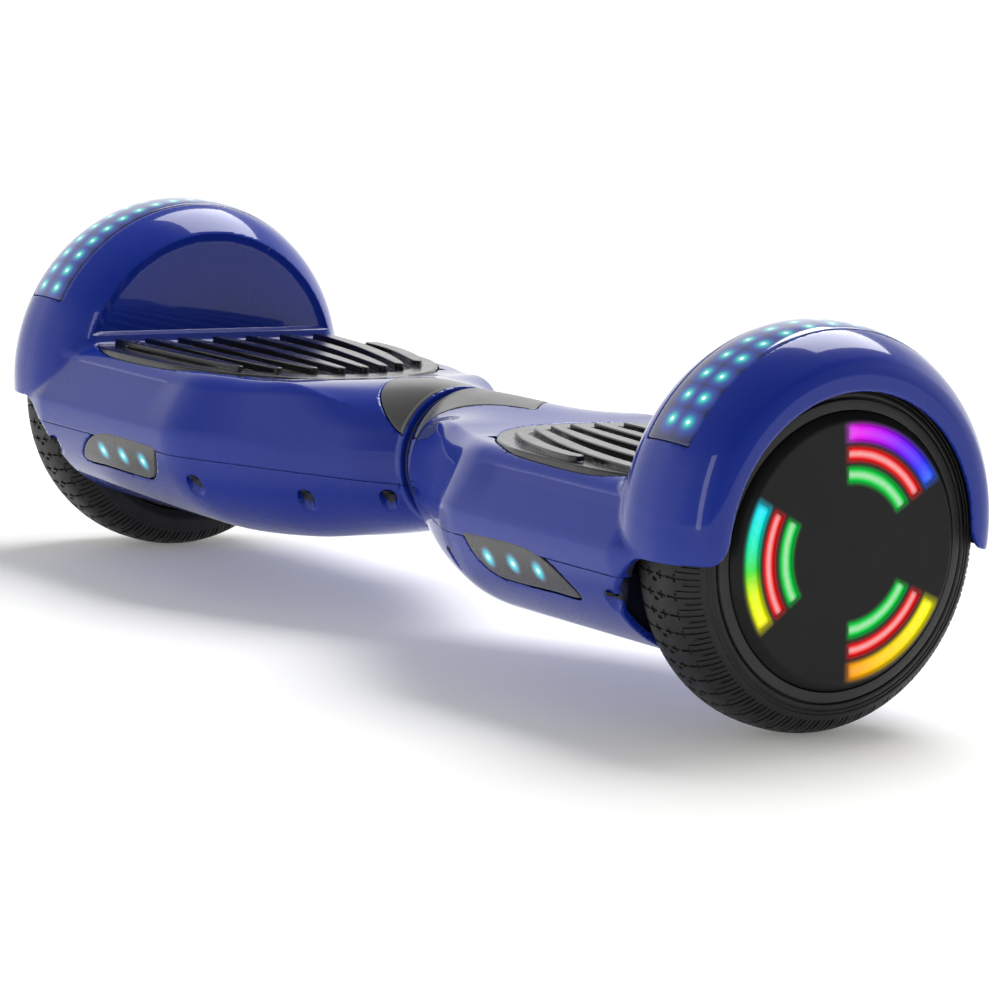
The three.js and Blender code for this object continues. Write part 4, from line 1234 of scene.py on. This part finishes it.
# painted shade: the screw heads are coloured near black so they read as the shade deep in the holes
M["screw_dark"] = metal("screw_heads_painted_shade", (0.020, 0.020, 0.021), (0.032, 0.032, 0.033), 0.38, 0.50, (1, 1, 1), 0.06, 900.0)
V0, F0, N0 = contour(screw_field(0, 0, 0), (-3.8, -3.8, -2.4), (3.8, 3.8, 0.6), 0.24)
scr = [(V0 + np.array([sx, s_ * sy, sz - 0.1]), F0) for sx, sy, sz in SCREWS for s_ in (-1, 1)]
VX, FX = join(scr)
for side in ("right", "left"):
    lf = side == "left"
    o = mesh_object(f"{side}_cover_screws", VX * (np.array([-1, 1, 1]) if lf else 1), FX[:, ::-1] if lf else FX, np.tile(N0, (len(scr), 1)) * (np.array([-1, 1, 1]) if lf else 1), M["screw_dark"])
    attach(o, f"{side}_half")
print(f"[time] screws {len(FX)} faces {time.time() - t:.1f} s")

# ------------------------------------------------------------------ floor, light, camera
def area(name, loc, target, size, power, size_y=None, color=(1, 1, 1)):
    L = bpy.data.lights.new(name, "AREA")
    L.shape = "RECTANGLE" if size_y else "SQUARE"
    L.size = size
    if size_y:
        L.size_y = size_y
    L.energy = power
    L.color = color
    o = bpy.data.objects.new(name, L)
    SC.collection.objects.link(o)
    o.location = loc
    o.rotation_euler = (Vector(target) - Vector(loc)).to_track_quat("-Z", "Y").to_euler()
    return o


def stage():
    nx = 40
    g = np.linspace(-1, 1, nx + 1)
    X, Y = np.meshgrid(g, g, indexing="ij")
    X, Y = np.sign(X) * np.abs(X) ** 1.6 * 14000, np.sign(Y) * np.abs(Y) ** 1.6 * 14000
    V = np.stack([X.ravel(), Y.ravel(), np.zeros(X.size)], 1)
    i, j = np.meshgrid(np.arange(nx), np.arange(nx), indexing="ij")
    a = (i * (nx + 1) + j).ravel()
    F = np.stack([a, a + nx + 1, a + nx + 2, a + 1], 1)
    n = Nodes("studio_floor_white")
    n.set(Specular_IOR_Level=0.2)
    col = n.ramp(n.noise(1.2, 2.0), [(0.3, (0.90, 0.90, 0.89)), (0.7, (0.92, 0.92, 0.91))])
    x, y, z = n.axes()
    far = n.span(n.math("SQRT", n.math("ADD", n.math("MULTIPLY", x, x), n.math("MULTIPLY", y, y))), 0.75, 1.9)
    n.bsdf.inputs["Emission Strength"].default_value = 1.0
    em = n.mix(far, (0.17, 0.17, 0.165), (1.0, 1.0, 1.0))
    n.out(Base_Color=n.mix(far, col, (0.0, 0.0, 0.0)), Emission_Color=em, Roughness=n.span(n.noise(3.0), 0.3, 0.7, 0.60, 0.68))
    mesh_object("studio_floor", V, F, None, n.m)


stage()
W = bpy.data.worlds.new("studio_white")
SC.world = W
W.use_nodes = True
wt = W.node_tree
bg = wt.nodes["Background"]
geo = wt.nodes.new("ShaderNodeTexCoord")
sep = wt.nodes.new("ShaderNodeSeparateXYZ")
wt.links.new(geo.outputs["Generated"], sep.inputs[0])
ramp = wt.nodes.new("ShaderNodeValToRGB")
els = ramp.color_ramp.elements
while len(els) < 4:
    els.new(0.5)
for e, (p, v) in zip(els, ((0.0, 1.0), (0.40, 0.92), (0.62, 0.40), (1.0, 0.30))):
    e.position = p
    e.color = (v, v, v, 1)
wt.links.new(sep.outputs[2], ramp.inputs[0])
dotp = wt.nodes.new("ShaderNodeVectorMath")
dotp.operation = "DOT_PRODUCT"
wt.links.new(geo.outputs["Generated"], dotp.inputs[0])
dotp.inputs[1].default_value = (0.97, -0.24, 0.0)
dk = wt.nodes.new("ShaderNodeMapRange")
dk.interpolation_type = "SMOOTHSTEP"
for k_, v_ in (("From Min", 0.05), ("From Max", 0.85), ("To Min", 1.0), ("To Max", 0.25)):
    dk.inputs[k_].default_value = v_
wt.links.new(dotp.outputs["Value"], dk.inputs["Value"])
mul = wt.nodes.new("ShaderNodeMix")
mul.data_type = "RGBA"
mul.blend_type = "MULTIPLY"
mul.inputs[0].default_value = 1.0
wt.links.new(ramp.outputs[0], mul.inputs[6])
wt.links.new(dk.outputs["Result"], mul.inputs[7])
lp = wt.nodes.new("ShaderNodeLightPath")
mx = wt.nodes.new("ShaderNodeMix")
mx.data_type = "RGBA"
wt.links.new(lp.outputs["Is Camera Ray"], mx.inputs[0])
wt.links.new(mul.outputs[2], mx.inputs[6])
mx.inputs[7].default_value = (1, 1, 1, 1)
wt.links.new(mx.outputs[2], bg.inputs[0])
bg.inputs[1].default_value = 1.0
area("key_top", (-0.5, 1.3, 2.3), (0, 0, 0.08), 1.7, 68)
area("edge_strip", (1.55, -2.15, 0.75), (0.28, 0, 0.1), 0.24, 4, 1.7)

az, el, roll = math.radians(54.70), math.radians(8.41), math.radians(2.93)
back = Vector((math.sin(az) * math.cos(el), -math.cos(az) * math.cos(el), math.sin(el)))
right0 = Vector((math.cos(az), math.sin(az), 0))
up0 = back.cross(right0)
Rv = right0 * math.cos(roll) + up0 * math.sin(roll)
Uv = up0 * math.cos(roll) - right0 * math.sin(roll)
cam = bpy.data.cameras.new("photo_camera")
cam.sensor_width = 36.0
cam.lens = 4941.22 / 1000 * 36.0
cam.clip_end = 60
co = bpy.data.objects.new("photo_camera", cam)
SC.collection.objects.link(co)
pos = Vector((0.03217, 0, 0.0662)) + back * 2.31349
co.matrix_world = Matrix(((Rv.x, Uv.x, back.x, pos.x), (Rv.y, Uv.y, back.y, pos.y), (Rv.z, Uv.z, back.z, pos.z), (0, 0, 0, 1)))
SC.camera = co
SC.view_settings.view_transform = "Standard"
SC.view_settings.look = "None"

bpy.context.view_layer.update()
print(f"[time] scene built in {time.time() - T0:.1f} s")
